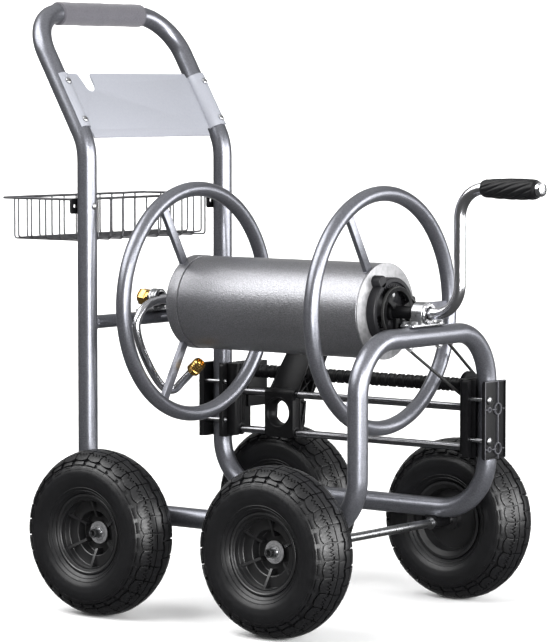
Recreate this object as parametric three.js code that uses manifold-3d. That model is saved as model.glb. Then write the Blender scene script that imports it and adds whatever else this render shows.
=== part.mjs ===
// Garden hose reel cart: a four-wheeled tube frame that carries a crank-driven hose drum.
// Millimetres. +Z is up, +X points from the push handle to the crank, +Y is the side with the hose guide.
// Places are measured from the middle of the wheelbase on the ground; the last step centres the footprint.
import * as THREE from 'three';
import { mergeVertices } from 'three/addons/utils/BufferGeometryUtils.js';
import { ConvexGeometry } from 'three/addons/geometries/ConvexGeometry.js';
import Module from 'manifold-3d';

const wasm = await Module();
wasm.setup();

// ---- driving dimensions -------------------------------------------------------------------------
const GAP = 0.3; // between pieces that touch

const TUBE_R = 15.25; // frame tube, 30.5 mm outside
const SIDE_Y = 167; // legs, rails and posts stand this far either side of the middle
const LEG_X = -251.3;
const POST_X = 267.9;
const RAIL_Z = 152;
const LOOP_Z = 432.5; // axis of the front loop's top bar
const LOOP_CORNER_R = 80;
const LOOP_FOOT_R = 82;
const LEG_FOOT_R = 80;
const RAIL_JOINT_X = 110; // a rail meets the front loop here
const LEG_JOINT_Z = 262; // a leg meets its rail here

const HANDLE_BEND_Z = 714.5; // the legs lean back above this
const HANDLE_TOP_X = -370.4;
const HANDLE_TOP_Z = 919;
const HANDLE_BEND_R = 86.7;
const HANDLE_CORNER_R = 73;
const HANDLE_LEAN = Math.atan2(LEG_X - HANDLE_TOP_X, HANDLE_TOP_Z - HANDLE_BEND_Z);
const FOAM_R = 18.5;
const FOAM_LENGTH = 187;

const CROSSBAR_R = 10.5;
const CROSSBAR_Z = 439.5;

const REEL_Z = 467.2; // reel axis
const DRUM_R = 73;
const DRUM_X = [-172.8, 195];
const DRUM_WALL = 2;
const DISC_THICKNESS = 2.2;
const RING_R = 176.9; // centre line of a guard ring
const RING_TUBE_R = 11.7;
const RING_X = [-170, 190.5];
const SPOKE_X = [-166, 189.5];
const SPOKE_SIZE = [8, 14]; // along the reel axis, and across the spoke
const SPOKE_ANGLES = [30, 150, 270]; // degrees from straight up, towards the near side

const HUB_R = 12; // turning water hub at the inlet end
const HUB_X = -213.5;
const HOUSING_R = 51.5;
const HOUSING_X = [197.6, 213];
const DRIVE_R = 35.5; // belt radius on the reel
const DRIVEN_R = 20.5; // belt radius on the lead screw
const BELT_X = 218;
const BELT_WIDTH = 5;
const BELT_THICKNESS = 3;
const PULLEY_HALF = BELT_WIDTH / 2 + 0.6; // half the width of a pulley's groove
const NOSE_X = 240; // the drive hub's end, at the front bearing

const CRANK_R = 9;
const CRANK_X = 331.6; // the upright part of the crank
const CRANK_THROW = 188;
const CRANK_BEND_R = 44;
const CRANK_END_X = 478;
const GRIP_X = [374, 468];

const FOOT_SIZE = [24, 84, 4]; // a bearing's foot, along X, Y and Z

const GUIDE_Y = 167; // both guide rods
const ROD_R = 6;
const ROD_Z = [249, 311];
const SCREW_Y = 192;
const SCREW_Z = 342.5;
const SCREW_R = 11;
const SCREW_X = [-199, 209];
const CLAMP_Z = [236, 356];
const CLAMP_BOLT_Y = 145;
const CLAMP_BOLT_Z = [264, 326.5];
const CARRIAGE_X = -132;
const EYELET_R = 18.5;
const EYELET_Z = 281;

const WHEEL_X = 169.2;
const WHEEL_Y = 234;
const WHEEL_R = 127;
const TYRE_SEGMENTS = 24;
const RIM_SEGMENTS = 18;
const AXLE_R = 6.7;
const AXLE_HALF = 250;

const BASKET_X = [-423, -272];
const BASKET_Y = 176;
const BASKET_Z = [565, 632];
const BASKET_WALL = 3;

// ---- materials ----------------------------------------------------------------------------------
function finish(color, roughness, metalness) {
  return () => new THREE.MeshStandardMaterial({ color, roughness, metalness });
}

const silverPaint = finish(0x8d8f96, 0.45, 0.7);
const palePaint = finish(0xa3a6ad, 0.5, 0.4);
const zinc = finish(0xc9cacc, 0.3, 0.95);
const brass = finish(0xc79a3c, 0.3, 0.95);
const blackPlastic = finish(0x18181a, 0.55, 0);
const blackRubber = finish(0x202022, 0.85, 0);
const foam = finish(0x504e54, 0.95, 0);
const wire = finish(0x55565a, 0.4, 0.8);

// ---- helpers ------------------------------------------------------------------------------------
const cart = new THREE.Group();
const vec = (x, y, z) => new THREE.Vector3(x, y, z);

function add(name, geometry, material, position = [0, 0, 0], parent = cart) {
  const mesh = new THREE.Mesh(geometry, material());
  mesh.name = name;
  mesh.position.set(...position);
  parent.add(mesh);
  return mesh;
}

/** A manifold solid from a closed geometry, without the flat triangles that a lathe leaves on its axis. */
function solid(geometry) {
  const plain = geometry.clone();
  plain.deleteAttribute('normal');
  plain.deleteAttribute('uv');
  const merged = mergeVertices(plain, 1e-4);
  const index = [];
  for (let i = 0; i < merged.index.count; i += 3) {
    const [a, b, c] = [0, 1, 2].map((k) => merged.index.getX(i + k));
    if (a !== b && b !== c && c !== a) index.push(a, b, c);
  }
  const vertProperties = new Float32Array(merged.attributes.position.array);
  return new wasm.Manifold(new wasm.Mesh({ numProp: 3, vertProperties, triVerts: new Uint32Array(index) }));
}

function geometryOf(manifold) {
  const mesh = manifold.getMesh();
  const geometry = new THREE.BufferGeometry();
  geometry.setAttribute('position', new THREE.BufferAttribute(new Float32Array(mesh.vertProperties), 3));
  geometry.setIndex(new THREE.BufferAttribute(new Uint32Array(mesh.triVerts), 1));
  geometry.computeVertexNormals();
  return geometry;
}

/** Joins the first list of geometries and cuts the second list out of them. */
function shaped(joined, cut = []) {
  let result = solid(joined[0]);
  for (const geometry of joined.slice(1)) result = result.add(solid(geometry));
  for (const geometry of cut) result = result.subtract(solid(geometry));
  return geometryOf(result);
}

function box(x0, x1, y0, y1, z0, z1) {
  const geometry = new THREE.BoxGeometry(x1 - x0, y1 - y0, z1 - z0);
  return geometry.translate((x0 + x1) / 2, (y0 + y1) / 2, (z0 + z1) / 2);
}

/** A rod between two points. */
function rod(radius, from, to, sides = 12) {
  const along = to.clone().sub(from);
  const geometry = new THREE.CylinderGeometry(radius, radius, along.length(), sides);
  const turn = new THREE.Quaternion().setFromUnitVectors(vec(0, 1, 0), along.clone().normalize());
  return geometry.applyQuaternion(turn).translate(...from.clone().add(to).multiplyScalar(0.5).toArray());
}

const rodX = (radius, x0, x1, y, z, sides = 12) => rod(radius, vec(x0, y, z), vec(x1, y, z), sides);
const rodY = (radius, y0, y1, x, z, sides = 12) => rod(radius, vec(x, y0, z), vec(x, y1, z), sides);

/** A turned piece about X; the profile is [radius, x] pairs that close on themselves or on the axis. */
function turnedX(profile, segments) {
  const points = profile.map(([radius, x]) => new THREE.Vector2(radius, x));
  return new THREE.LatheGeometry(points, segments).rotateZ(-Math.PI / 2);
}

const ring = (profile) => [...profile, profile[0]];

/** A polyline whose corners are rounded by arcs; its samples lie where the tube needs a section. */
class BentPath extends THREE.Curve {
  constructor(corners, radii, arcSteps = 5) {
    super();
    this.points = [corners[0]];
    for (let i = 1; i < corners.length - 1; i += 1) {
      this.points.push(...BentPath.arc(corners[i - 1], corners[i], corners[i + 1], radii[i - 1], arcSteps));
    }
    this.points.push(corners.at(-1));
    this.steps = this.points.length - 1;
  }

  static arc(before, corner, after, radius, steps) {
    const back = before.clone().sub(corner).normalize();
    const ahead = after.clone().sub(corner).normalize();
    const half = back.angleTo(ahead) / 2;
    const centre = back.clone().add(ahead).normalize().multiplyScalar(radius / Math.sin(half)).add(corner);
    const start = back.multiplyScalar(radius / Math.tan(half)).add(corner).sub(centre);
    const end = ahead.multiplyScalar(radius / Math.tan(half)).add(corner).sub(centre);
    const sweep = Math.PI - 2 * half;
    return Array.from({ length: steps + 1 }, (_, k) => {
      const angle = (sweep * k) / steps;
      const from = start.clone().multiplyScalar(Math.sin(sweep - angle) / Math.sin(sweep));
      return from.add(end.clone().multiplyScalar(Math.sin(angle) / Math.sin(sweep))).add(centre);
    });
  }

  getPoint(t) {
    return this.points[Math.round(t * this.steps)].clone();
  }

  getPointAt(u) {
    return this.getPoint(u);
  }

  getTangentAt(u) {
    const i = Math.round(u * this.steps);
    const before = this.points[Math.max(i - 1, 0)];
    const here = this.points[i];
    const after = this.points[Math.min(i + 1, this.steps)];
    const tangent = after.clone().sub(here).normalize();
    return tangent.add(here.clone().sub(before).normalize()).normalize();
  }
}

function roundSection(radius, sides) {
  const points = Array.from({ length: sides }, (_, k) => {
    const angle = (2 * Math.PI * (k + 0.5)) / sides;
    return new THREE.Vector2(radius * Math.cos(angle), radius * Math.sin(angle));
  });
  return new THREE.Shape(points);
}

function tube(radius, path, steps = path.steps, sides = 10) {
  return new THREE.ExtrudeGeometry(roundSection(radius, sides), { steps, extrudePath: path });
}

const bent = (radius, corners, radii, sides = 10, arcSteps = 5) =>
  tube(radius, new BentPath(corners.map((c) => vec(...c)), radii, arcSteps), undefined, sides);

/** A hexagon-headed bolt along X: the head sits at x = 0 and the shank runs towards -X. */
function bolt(shankR, headR, headHeight, length) {
  return shaped([rodX(headR, 0, headHeight, 0, 0, 6), rodX(shankR, -length, 0.5, 0, 0, 8)]);
}

// ---- tube frame ---------------------------------------------------------------------------------
const leanAxis = vec(-Math.sin(HANDLE_LEAN), 0, Math.cos(HANDLE_LEAN)); // up along a leaning leg
const leanFront = vec(Math.cos(HANDLE_LEAN), 0, Math.sin(HANDLE_LEAN)); // out of its front

/** A place on the leaning part of the handle: up along it, out of its front, and across the cart. */
function onHandle(up, out, y) {
  const along = leanAxis.clone().multiplyScalar(up);
  return along.add(leanFront.clone().multiplyScalar(out)).add(vec(LEG_X, y, HANDLE_BEND_Z));
}

const PLATE_BOLT_UP = [36, 104];
const PLATE_BOLT_R = 3;
const BRACKET_Z = 620;

function handleTube() {
  const side = (y) => [[LEG_X, y, LEG_JOINT_Z], [LEG_X, y, HANDLE_BEND_Z], [HANDLE_TOP_X, y, HANDLE_TOP_Z]];
  const corners = [...side(-SIDE_Y), ...side(SIDE_Y).reverse()];
  const bends = [HANDLE_BEND_R, HANDLE_CORNER_R, HANDLE_CORNER_R, HANDLE_BEND_R];
  const holes = [];
  for (const y of [-SIDE_Y, SIDE_Y]) {
    for (const up of PLATE_BOLT_UP) {
      holes.push(rod(PLATE_BOLT_R + GAP, onHandle(up, -TUBE_R - 5, y), onHandle(up, TUBE_R + 5, y), 8));
    }
  }
  return shaped([bent(TUBE_R, corners, bends)], holes);
}

function frontLoop() {
  const side = (y) => [[RAIL_JOINT_X + GAP, y, RAIL_Z], [POST_X, y, RAIL_Z], [POST_X, y, LOOP_Z]];
  const corners = [...side(-SIDE_Y), ...side(SIDE_Y).reverse()];
  return bent(TUBE_R, corners, [LOOP_FOOT_R, LOOP_CORNER_R, LOOP_CORNER_R, LOOP_FOOT_R]);
}

function sideRail(y) {
  const corners = [[RAIL_JOINT_X, y, RAIL_Z], [LEG_X, y, RAIL_Z], [LEG_X, y, LEG_JOINT_Z - GAP]];
  return bent(TUBE_R, corners, [LEG_FOOT_R]);
}

function rearCrossbar() {
  const halfLength = SIDE_Y - TUBE_R - GAP;
  return rodY(CROSSBAR_R, -halfLength, halfLength, LEG_X, CROSSBAR_Z, 12);
}

function foamGrip() {
  const half = FOAM_LENGTH / 2;
  const profile = ring([[TUBE_R + GAP, -half], [FOAM_R - 1, -half], [FOAM_R, -half + 2], [FOAM_R, half - 2],
    [FOAM_R - 1, half], [TUBE_R + GAP, half]]);
  return turnedX(profile, 20).rotateZ(Math.PI / 2);
}

function buildFrame() {
  add('handle_tube', handleTube(), silverPaint);
  add('front_loop', frontLoop(), silverPaint);
  add('rail_near', sideRail(-SIDE_Y), silverPaint);
  add('rail_far', sideRail(SIDE_Y), silverPaint);
  add('rear_crossbar', rearCrossbar(), silverPaint);
  add('foam_grip', foamGrip(), foam, [HANDLE_TOP_X, 0, HANDLE_TOP_Z]);
}

// ---- hook plate between the leaning legs ----------------------------------------------------------
const PLATE_THICKNESS = 2;
const PLATE_OUT = -1; // the back of the flat sheet, measured out of the handle's front from the legs' axes
const PLATE_UP = { low: 12, high: 127 };
const EAR_UP = [25, 120]; // the rolled ears are shorter than the sheet between the legs
const EAR_REACH = 10; // how far an ear rolls past a leg's front

/** Half of the sheet's section, across the cart and out of the handle, from the ear's end inwards. */
function earSection(radius, sheetOut) {
  const end = Math.acos(EAR_REACH / radius);
  const root = Math.PI - Math.asin(sheetOut / radius);
  const steps = 6;
  return Array.from({ length: steps + 1 }, (_, k) => {
    const angle = end + ((root - end) * k) / steps;
    return new THREE.Vector2(SIDE_Y + radius * Math.cos(angle), radius * Math.sin(angle));
  });
}

function rectangle(x0, x1, y0, y1) {
  const corners = [[x0, y0], [x1, y0], [x1, y1], [x0, y1]];
  return new THREE.Shape(corners.map((p) => new THREE.Vector2(...p)));
}

/** A prism through the sheet, drawn across the cart and up the handle. */
function throughPlate(outline) {
  const depth = 80;
  const flat = new THREE.ExtrudeGeometry(outline, { depth, bevelEnabled: false, curveSegments: 5 });
  const basis = new THREE.Matrix4().makeBasis(vec(0, 1, 0), leanAxis, leanFront);
  return flat.applyMatrix4(basis.setPosition(onHandle(0, -depth / 2, 0)));
}

/** The hook for a hose end: a round-bottomed slot that opens wider at the plate's upper edge. */
function notch() {
  const bottom = { y: -102.5, up: 108, radius: 11.5 };
  const mouth = -117;
  const outline = new THREE.Shape();
  outline.moveTo(bottom.y + bottom.radius, PLATE_UP.high + 5);
  outline.lineTo(mouth, PLATE_UP.high + 5);
  outline.absarc(bottom.y, bottom.up, bottom.radius, Math.PI, 2 * Math.PI, false);
  outline.closePath();
  return outline;
}

function hookPlate() {
  const front = earSection(TUBE_R + GAP + PLATE_THICKNESS, PLATE_OUT + PLATE_THICKNESS);
  const back = earSection(TUBE_R + GAP, PLATE_OUT);
  const mirrored = (points) => points.map((p) => new THREE.Vector2(-p.x, p.y));
  const section = [...front, ...mirrored(front).reverse(), ...mirrored(back), ...back.reverse()];
  const length = PLATE_UP.high - PLATE_UP.low;
  const sheet = new THREE.ExtrudeGeometry(new THREE.Shape(section), { depth: length, bevelEnabled: false });
  const basis = new THREE.Matrix4().makeBasis(vec(0, 1, 0), leanFront, leanAxis.clone().negate());
  sheet.applyMatrix4(basis.setPosition(onHandle(PLATE_UP.high, 0, 0)));
  const cuts = [throughPlate(notch())];
  for (const side of [-1, 1]) {
    const inner = side * (SIDE_Y - TUBE_R - 10);
    const outer = side * (SIDE_Y + TUBE_R + 20);
    cuts.push(throughPlate(rectangle(inner, outer, PLATE_UP.low - 5, EAR_UP[0])));
    cuts.push(throughPlate(rectangle(inner + side * 6, outer, EAR_UP[1], PLATE_UP.high + 5)));
    for (const up of PLATE_BOLT_UP) {
      const ends = [0, 40].map((out) => onHandle(up, out, side * SIDE_Y));
      cuts.push(rod(PLATE_BOLT_R + GAP, ...ends, 8));
    }
  }
  return shaped([sheet], cuts);
}

function buildHookPlate() {
  add('hook_plate', hookPlate(), palePaint);
  const seat = TUBE_R + 2 * GAP + PLATE_THICKNESS;
  let count = 0;
  for (const y of [-SIDE_Y, SIDE_Y]) {
    for (const up of PLATE_BOLT_UP) {
      count += 1;
      const geometry = bolt(PLATE_BOLT_R, 5, 3, 2 * TUBE_R + 7);
      const mesh = add(`plate_bolt_${count}`, geometry, zinc, onHandle(up, seat, y).toArray());
      mesh.rotation.y = -HANDLE_LEAN;
    }
  }
}

// ---- basket behind the legs -----------------------------------------------------------------------
function basketTray() {
  const [x0, x1] = BASKET_X;
  const [z0, z1] = BASKET_Z;
  const w = BASKET_WALL;
  const outer = box(x0, x1, -BASKET_Y, BASKET_Y, z0, z1);
  const inner = box(x0 + w, x1 - w, -BASKET_Y + w, BASKET_Y - w, z0 + w, z1 + w);
  return shaped([outer], [inner]);
}

function basketBracket(y) {
  const back = BASKET_X[1] + GAP;
  const front = LEG_X - TUBE_R - GAP;
  const half = { y: 20, z: 12 };
  const plate = box(back, front, y - half.y, y + half.y, BRACKET_Z - half.z, BRACKET_Z + half.z);
  const holeY = y + Math.sign(y) * 0.6 * half.y;
  return shaped([plate], [rodX(3, back - 1, front + 1, holeY, BRACKET_Z, 10)]);
}

function buildBasket() {
  add('basket', basketTray(), wire);
  add('basket_bracket_near', basketBracket(-SIDE_Y), blackPlastic);
  add('basket_bracket_far', basketBracket(SIDE_Y), blackPlastic);
}

// ---- wheels and axles -----------------------------------------------------------------------------
/** The tyre about Y; its segments are turned so that one flat facet faces the ground. */
function tyre() {
  const corner = WHEEL_R / Math.cos(Math.PI / TYRE_SEGMENTS); // puts a facet, not a corner, at WHEEL_R
  const half = [[52.6, 29.6], [61.5, 29.9], [76, 41.5], [92, 44], [106, 39], [118, 27.5], [corner, 8]];
  const mirrored = half.map(([r, y]) => [r, -y]);
  const profile = ring([...mirrored, ...half.reverse()]).map(([r, y]) => new THREE.Vector2(r, y));
  return new THREE.LatheGeometry(profile, TYRE_SEGMENTS).rotateY(Math.PI / TYRE_SEGMENTS);
}

/** The dished rim about Y, with its deep side towards -Y, the outside of the cart. */
function rim() {
  const web = [[7.2, 0], [16, 0], [16, 4], [48, 6]];
  const outerFlange = [[49.5, -27], [57, -33], [60.5, -33], [60.5, -30.4], [51.8, -30.4]];
  const innerFlange = [[51.8, 30.4], [60.5, 30.4], [60.5, 33], [57, 33], [49, 29]];
  const back = [[48, 14], [16, 12], [16, 24], [7.2, 24]];
  const profile = [...web, ...outerFlange, ...innerFlange, ...back];
  const points = ring(profile).map(([r, y]) => new THREE.Vector2(r, y));
  return new THREE.LatheGeometry(points, RIM_SEGMENTS);
}

function axle() {
  const washer = { r: 12, y: [1, 3.5] };
  const parts = [rodY(AXLE_R, -AXLE_HALF, AXLE_HALF, 0, 0, 12)];
  for (const side of [-1, 1]) {
    parts.push(rodY(washer.r, side * (WHEEL_Y + washer.y[0]), side * (WHEEL_Y + washer.y[1]), 0, 0, 12));
  }
  return shaped(parts);
}

/** A sleeve that carries the axle under a rail, with a saddle up to the tube. */
function axleMount() {
  const sleeve = { r: 9, y: [-8, 34] };
  const saddle = box(-9, 9, -8, 10, 0, RAIL_Z - WHEEL_R - 8);
  const rail = rodX(TUBE_R + GAP, -40, 40, 0, RAIL_Z - WHEEL_R, 16);
  const bore = rodY(AXLE_R + GAP, -60, 60, 0, 0, 12);
  return shaped([rodY(sleeve.r, ...sleeve.y, 0, 0, 14), saddle], [rail, bore]);
}

function buildRunningGear() {
  for (const [end, x] of [['rear', -WHEEL_X], ['front', WHEEL_X]]) {
    add(`axle_${end}`, axle(), zinc, [x, 0, WHEEL_R]);
    for (const [side, sign] of [['near', -1], ['far', 1]]) {
      const place = [x, sign * SIDE_Y, WHEEL_R];
      const mount = add(`axle_mount_${end}_${side}`, axleMount(), blackPlastic, place);
      const wheel = new THREE.Group();
      wheel.position.set(x, sign * WHEEL_Y, WHEEL_R);
      if (sign > 0) wheel.rotation.z = Math.PI;
      else mount.rotation.z = Math.PI;
      cart.add(wheel);
      add(`tyre_${end}_${side}`, tyre(), blackRubber, [0, 0, 0], wheel);
      add(`rim_${end}_${side}`, rim(), blackPlastic, [0, 0, 0], wheel);
    }
  }
}

// ---- reel -----------------------------------------------------------------------------------------
/** The rolled drum, its inlet end wall and the turning water hub in one weldment, open at the crank end. */
function drum() {
  const [x0, x1] = DRUM_X;
  const w = DRUM_WALL;
  const profile = [[0, HUB_X], [HUB_R, HUB_X], [HUB_R, x0], [DRUM_R, x0], [DRUM_R, x1], [DRUM_R - w, x1],
    [DRUM_R - w, x0 + w], [0, x0 + w]];
  return turnedX(profile, 36);
}

const endDisc = () => turnedX([[0, DRUM_X[1] + GAP], [DRUM_R, DRUM_X[1] + GAP],
  [DRUM_R, DRUM_X[1] + GAP + DISC_THICKNESS], [0, DRUM_X[1] + GAP + DISC_THICKNESS]], 36);

/** A guard ring; its segments line up with the spokes, so a spoke can be cut to fit its facets. */
function guardRing(tubeRadius = RING_TUBE_R) {
  return new THREE.TorusGeometry(RING_R, tubeRadius, 8, 48).rotateY(Math.PI / 2);
}

/** A flat bar from the drum to its ring, cut to fit round both. */
function spoke(x, ringX) {
  const [along, across] = SPOKE_SIZE;
  const bar = box(x - along / 2, x + along / 2, -across / 2, across / 2, DRUM_R - 4, RING_R);
  const drumSpace = rodX(DRUM_R + GAP, x - 20, x + 20, 0, 0, 72);
  return shaped([bar], [drumSpace, guardRing(RING_TUBE_R + GAP).translate(ringX, 0, 0)]);
}

/** The groove of a belt pulley between its two flanges, as a stretch of a turned profile. */
function pulleyGroove(beltR) {
  const [x0, x1] = [BELT_X - PULLEY_HALF, BELT_X + PULLEY_HALF];
  return [[beltR + 2, x0 - 0.8], [beltR - GAP, x0], [beltR - GAP, x1], [beltR + 2, x1 + 0.8]];
}

/** The geared housing on the end disc, and the belt pulley moulded in front of it. */
function driveHub() {
  const [x0, x1] = HOUSING_X;
  const boreR = CRANK_R + GAP;
  const [recessR, recessX] = [HOUSING_R - 12, x1 - 5];
  const outside = [[boreR, x0], [HOUSING_R, x0], [HOUSING_R, x1]];
  const recess = [[recessR, x1], [recessR, recessX], [30, recessX], [30, BELT_X - PULLEY_HALF - 1.4]];
  const face = BELT_X + PULLEY_HALF + 1.6;
  const nose = [[28, face], [14, face], [14, NOSE_X], [boreR, NOSE_X]];
  return turnedX(ring([...outside, ...recess, ...pulleyGroove(DRIVE_R), ...nose]), 20);
}

/** One bent tube from the drum's end disc through the front bearing to the end of the grip. */
function crankArm() {
  const top = CRANK_THROW;
  const corners = [[HOUSING_X[0] + 1, 0, 0], [CRANK_X, 0, 0], [CRANK_X, 0, top], [CRANK_END_X - 8, 0, top]];
  const arm = bent(CRANK_R, corners, [CRANK_BEND_R, CRANK_BEND_R], 12, 6);
  const knob = rodX(CRANK_R + 1.5, CRANK_END_X - 9, CRANK_END_X, 0, top, 12);
  return shaped([arm, knob]);
}

function crankGrip() {
  const [x0, x1] = GRIP_X;
  const middle = (x0 + x1) / 2;
  const bore = CRANK_R + 0.5;
  const belly = [[12, x0], [13.6, x0 + 18], [15, middle], [14.4, x1 - 25], [12.6, x1]];
  return turnedX(ring([[bore, x0], ...belly, [bore, x1]]), 20);
}

const OUTLET_ROUTE = [[-203, -12.8, 0], [-203, -50, 2], [-204, -86, -6], [-205, -104, -28],
  [-204, -100, -58], [-202, -64, -116], [-198, -42, -137], [-188, -34, -138], [-174, -31, -125],
  [-154, -30, -107]];

function outletPipe() {
  const route = new THREE.CatmullRomCurve3(OUTLET_ROUTE.map((p) => vec(...p)), false, 'centripetal');
  return tube(6.5, route, 26, 8);
}

/** A brass hose thread on the end of the outlet pipe, along the pipe's last stretch. */
function outletFitting() {
  const outside = [[9.5, GAP], [11, 2], [11, 7], [9, 8], [10.6, 10], [10.6, 20], [9.6, 22]];
  const profile = ring([[3.5, GAP], ...outside, [5.5, 22], [5.5, 18], [3.5, 18]]);
  const turned = turnedX(profile, 16);
  const [before, end] = OUTLET_ROUTE.slice(-2).map((p) => vec(...p));
  const turn = new THREE.Quaternion().setFromUnitVectors(vec(1, 0, 0), end.clone().sub(before).normalize());
  return turned.applyQuaternion(turn).translate(...end.toArray());
}

function buildReel() {
  const reel = new THREE.Group();
  reel.position.z = REEL_Z;
  cart.add(reel);
  const origin = [0, 0, 0];
  add('drum', drum(), silverPaint, origin, reel);
  add('drum_end_disc', endDisc(), zinc, origin, reel);
  ['inlet', 'crank'].forEach((end, i) => {
    add(`guard_ring_${end}`, guardRing(), silverPaint, [RING_X[i], 0, 0], reel);
    SPOKE_ANGLES.forEach((angle, k) => {
      const mesh = add(`spoke_${end}_${k + 1}`, spoke(SPOKE_X[i], RING_X[i]), silverPaint, origin, reel);
      mesh.rotation.x = THREE.MathUtils.degToRad(angle);
    });
  });
  add('drive_hub', driveHub(), blackPlastic, origin, reel);
  add('crank_arm', crankArm(), zinc, origin, reel);
  add('crank_grip', crankGrip(), blackPlastic, [0, 0, CRANK_THROW], reel);
  add('outlet_pipe', outletPipe(), zinc, origin, reel);
  add('outlet_fitting', outletFitting(), brass, origin, reel);
}

// ---- reel bearings and water inlet ----------------------------------------------------------------
/** A pillow block on a cross tube: its bore is on the reel axis and its foot lies on the tube. */
function bearing({ x, boreR, footZ, outerR, length, crown }) {
  const [footLength, width, height] = FOOT_SIZE;
  const [x0, x1] = [x - length / 2, x + length / 2];
  const foot = box(x - footLength / 2, x + footLength / 2, -width / 2, width / 2, footZ, footZ + height);
  const pillar = box(x0, x1, -outerR, outerR, footZ, REEL_Z + crown);
  const sleeve = rodX(outerR, x0, x1, 0, REEL_Z + crown, 20);
  return shaped([foot, pillar, sleeve], [rodX(boreR, x - 30, x + 30, 0, REEL_Z, 16)]);
}

const REAR_BEARING_X = -250;
const INLET_R = 9.5;
const INLET_RISE = THREE.MathUtils.degToRad(9); // the fixed stub points up a little, behind the cart
const INLET_ELBOW_X = -259;
const NUT = { from: 3.5, length: 21, radius: 13.6 };

/** A place on the axis of the fixed stub, away from its elbow. */
function alongInlet(distance) {
  const direction = vec(-Math.cos(INLET_RISE), 0, Math.sin(INLET_RISE));
  return direction.multiplyScalar(distance).add(vec(INLET_ELBOW_X, 0, REEL_Z));
}

/** The fixed half of the rotary water joint, held by the rear bearing. */
function inletSwivel() {
  const body = rodX(INLET_R, INLET_ELBOW_X, HUB_X - 0.8, 0, REEL_Z, 16);
  const stub = rod(INLET_R, alongInlet(-2), alongInlet(NUT.from - 0.5), 16);
  const spigot = rod(6, alongInlet(0), alongInlet(NUT.from + 10), 12);
  const bore = rod(4, alongInlet(2), alongInlet(NUT.from + 12), 10);
  return shaped([body, stub, spigot], [bore]);
}

/** The free-spinning hexagon nut that takes the supply hose. */
function inletNut() {
  const { from, length, radius } = NUT;
  const nut = rod(radius, alongInlet(from), alongInlet(from + length), 6);
  const throat = rod(6.4, alongInlet(from - 1), alongInlet(from + length), 12);
  const socket = rod(10, alongInlet(from + 3), alongInlet(from + length + 1), 16);
  return shaped([nut], [throat, socket]);
}

function buildBearings() {
  const front = { x: POST_X - 3, boreR: CRANK_R + 0.5, footZ: LOOP_Z + TUBE_R + GAP };
  Object.assign(front, { outerR: 17, length: 20, crown: 0 });
  const rear = { x: REAR_BEARING_X, boreR: INLET_R + GAP, footZ: CROSSBAR_Z + CROSSBAR_R + GAP };
  Object.assign(rear, { outerR: 15, length: 14, crown: 3 });
  add('front_bearing', bearing(front), zinc);
  add('rear_bearing', bearing(rear), zinc);
  add('inlet_swivel', inletSwivel(), zinc);
  add('inlet_nut', inletNut(), brass);
}

// ---- hose guide on the far side -------------------------------------------------------------------
const CLAMP_PLATE = 10; // thickness of a clamp's outer half
const OUTER_Y = { rear: [137, 200], front: [127, 185] };
const INNER_Y = [153, 186];
const SCREW_ARM = { y: 214, z: 318 }; // the inner half's upper part reaches out to the lead screw
const INNER_DEPTH = 24;
const WRAP_GAP = 0.8; // more than GAP, because the front tube begins to bend inside the clamp
const FLANGE = { thickness: 6.7, y: 138 }; // the inner half's thin flange, where the bolts pass

/** The flat outer half of a moulded clamp; outward is the direction away from the reel along X. */
function clampOuter(end, tubeX, outward) {
  const near = tubeX + outward * (TUBE_R + GAP);
  const [x0, x1] = [near, near + outward * CLAMP_PLATE].sort((a, b) => a - b);
  const holes = CLAMP_BOLT_Z.map((z) => rodX(3.8, x0 - 5, x1 + 5, CLAMP_BOLT_Y, z, 8));
  return shaped([box(x0, x1, ...OUTER_Y[end], ...CLAMP_Z)], holes);
}

/** The deep inner half, which wraps the tube a little and holds both rods and the screw's journal. */
function clampInner(tubeX, outward) {
  const root = tubeX - outward * 8;
  const face = tubeX - outward * (TUBE_R + INNER_DEPTH);
  const [x0, x1] = [root, face].sort((a, b) => a - b);
  const flangeX = [tubeX - outward * (TUBE_R + GAP), tubeX - outward * (TUBE_R + FLANGE.thickness)];
  const flange = box(Math.min(...flangeX), Math.max(...flangeX), FLANGE.y, INNER_Y[0] + 5, ...CLAMP_Z);
  const tubeEnds = [CLAMP_Z[0] - 5, CLAMP_Z[1] + 5].map((z) => vec(tubeX, SIDE_Y, z));
  const cuts = [rod(TUBE_R + WRAP_GAP, ...tubeEnds, 20)];
  for (const z of CLAMP_BOLT_Z) cuts.push(rodX(3.8, tubeX - 60, tubeX + 60, CLAMP_BOLT_Y, z, 8));
  const socket = tubeX - outward * (TUBE_R + 3);
  for (const z of ROD_Z) cuts.push(rodX(ROD_R + GAP, socket, face - outward * 5, GUIDE_Y, z, 12));
  cuts.push(rodX(5.5, socket, face - outward * 5, SCREW_Y, SCREW_Z, 12));
  const arm = box(x0, x1, INNER_Y[0], SCREW_ARM.y, SCREW_ARM.z, CLAMP_Z[1]);
  return shaped([box(x0, x1, ...INNER_Y, ...CLAMP_Z), arm, flange], cuts);
}

/** Both ends' bolts have their heads towards +X, and end just past the far half. */
function clampBolt(end, tubeX) {
  const outerSpan = TUBE_R + CLAMP_PLATE + 2 * GAP;
  const innerSpan = TUBE_R + FLANGE.thickness + GAP;
  const [toHead, toTip] = end === 'rear' ? [innerSpan, outerSpan] : [outerSpan, innerSpan];
  return { geometry: bolt(3.5, 6.5, 4, toHead + toTip + 4), headX: tubeX + toHead };
}

function leadScrew() {
  const [x0, x1] = SCREW_X;
  const journal = 5;
  const ends = [LEG_X + TUBE_R + 5, POST_X - TUBE_R - 5];
  const body = [[0, ends[0]], [journal, ends[0]], [journal, x0], [SCREW_R, x0], [SCREW_R, x1]];
  const face = BELT_X + PULLEY_HALF + 1.6;
  const tip = [[DRIVEN_R - 4, face], [journal, face], [journal, ends[1]], [0, ends[1]]];
  return turnedX([...body, ...pulleyGroove(DRIVEN_R), ...tip], 18);
}

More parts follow.
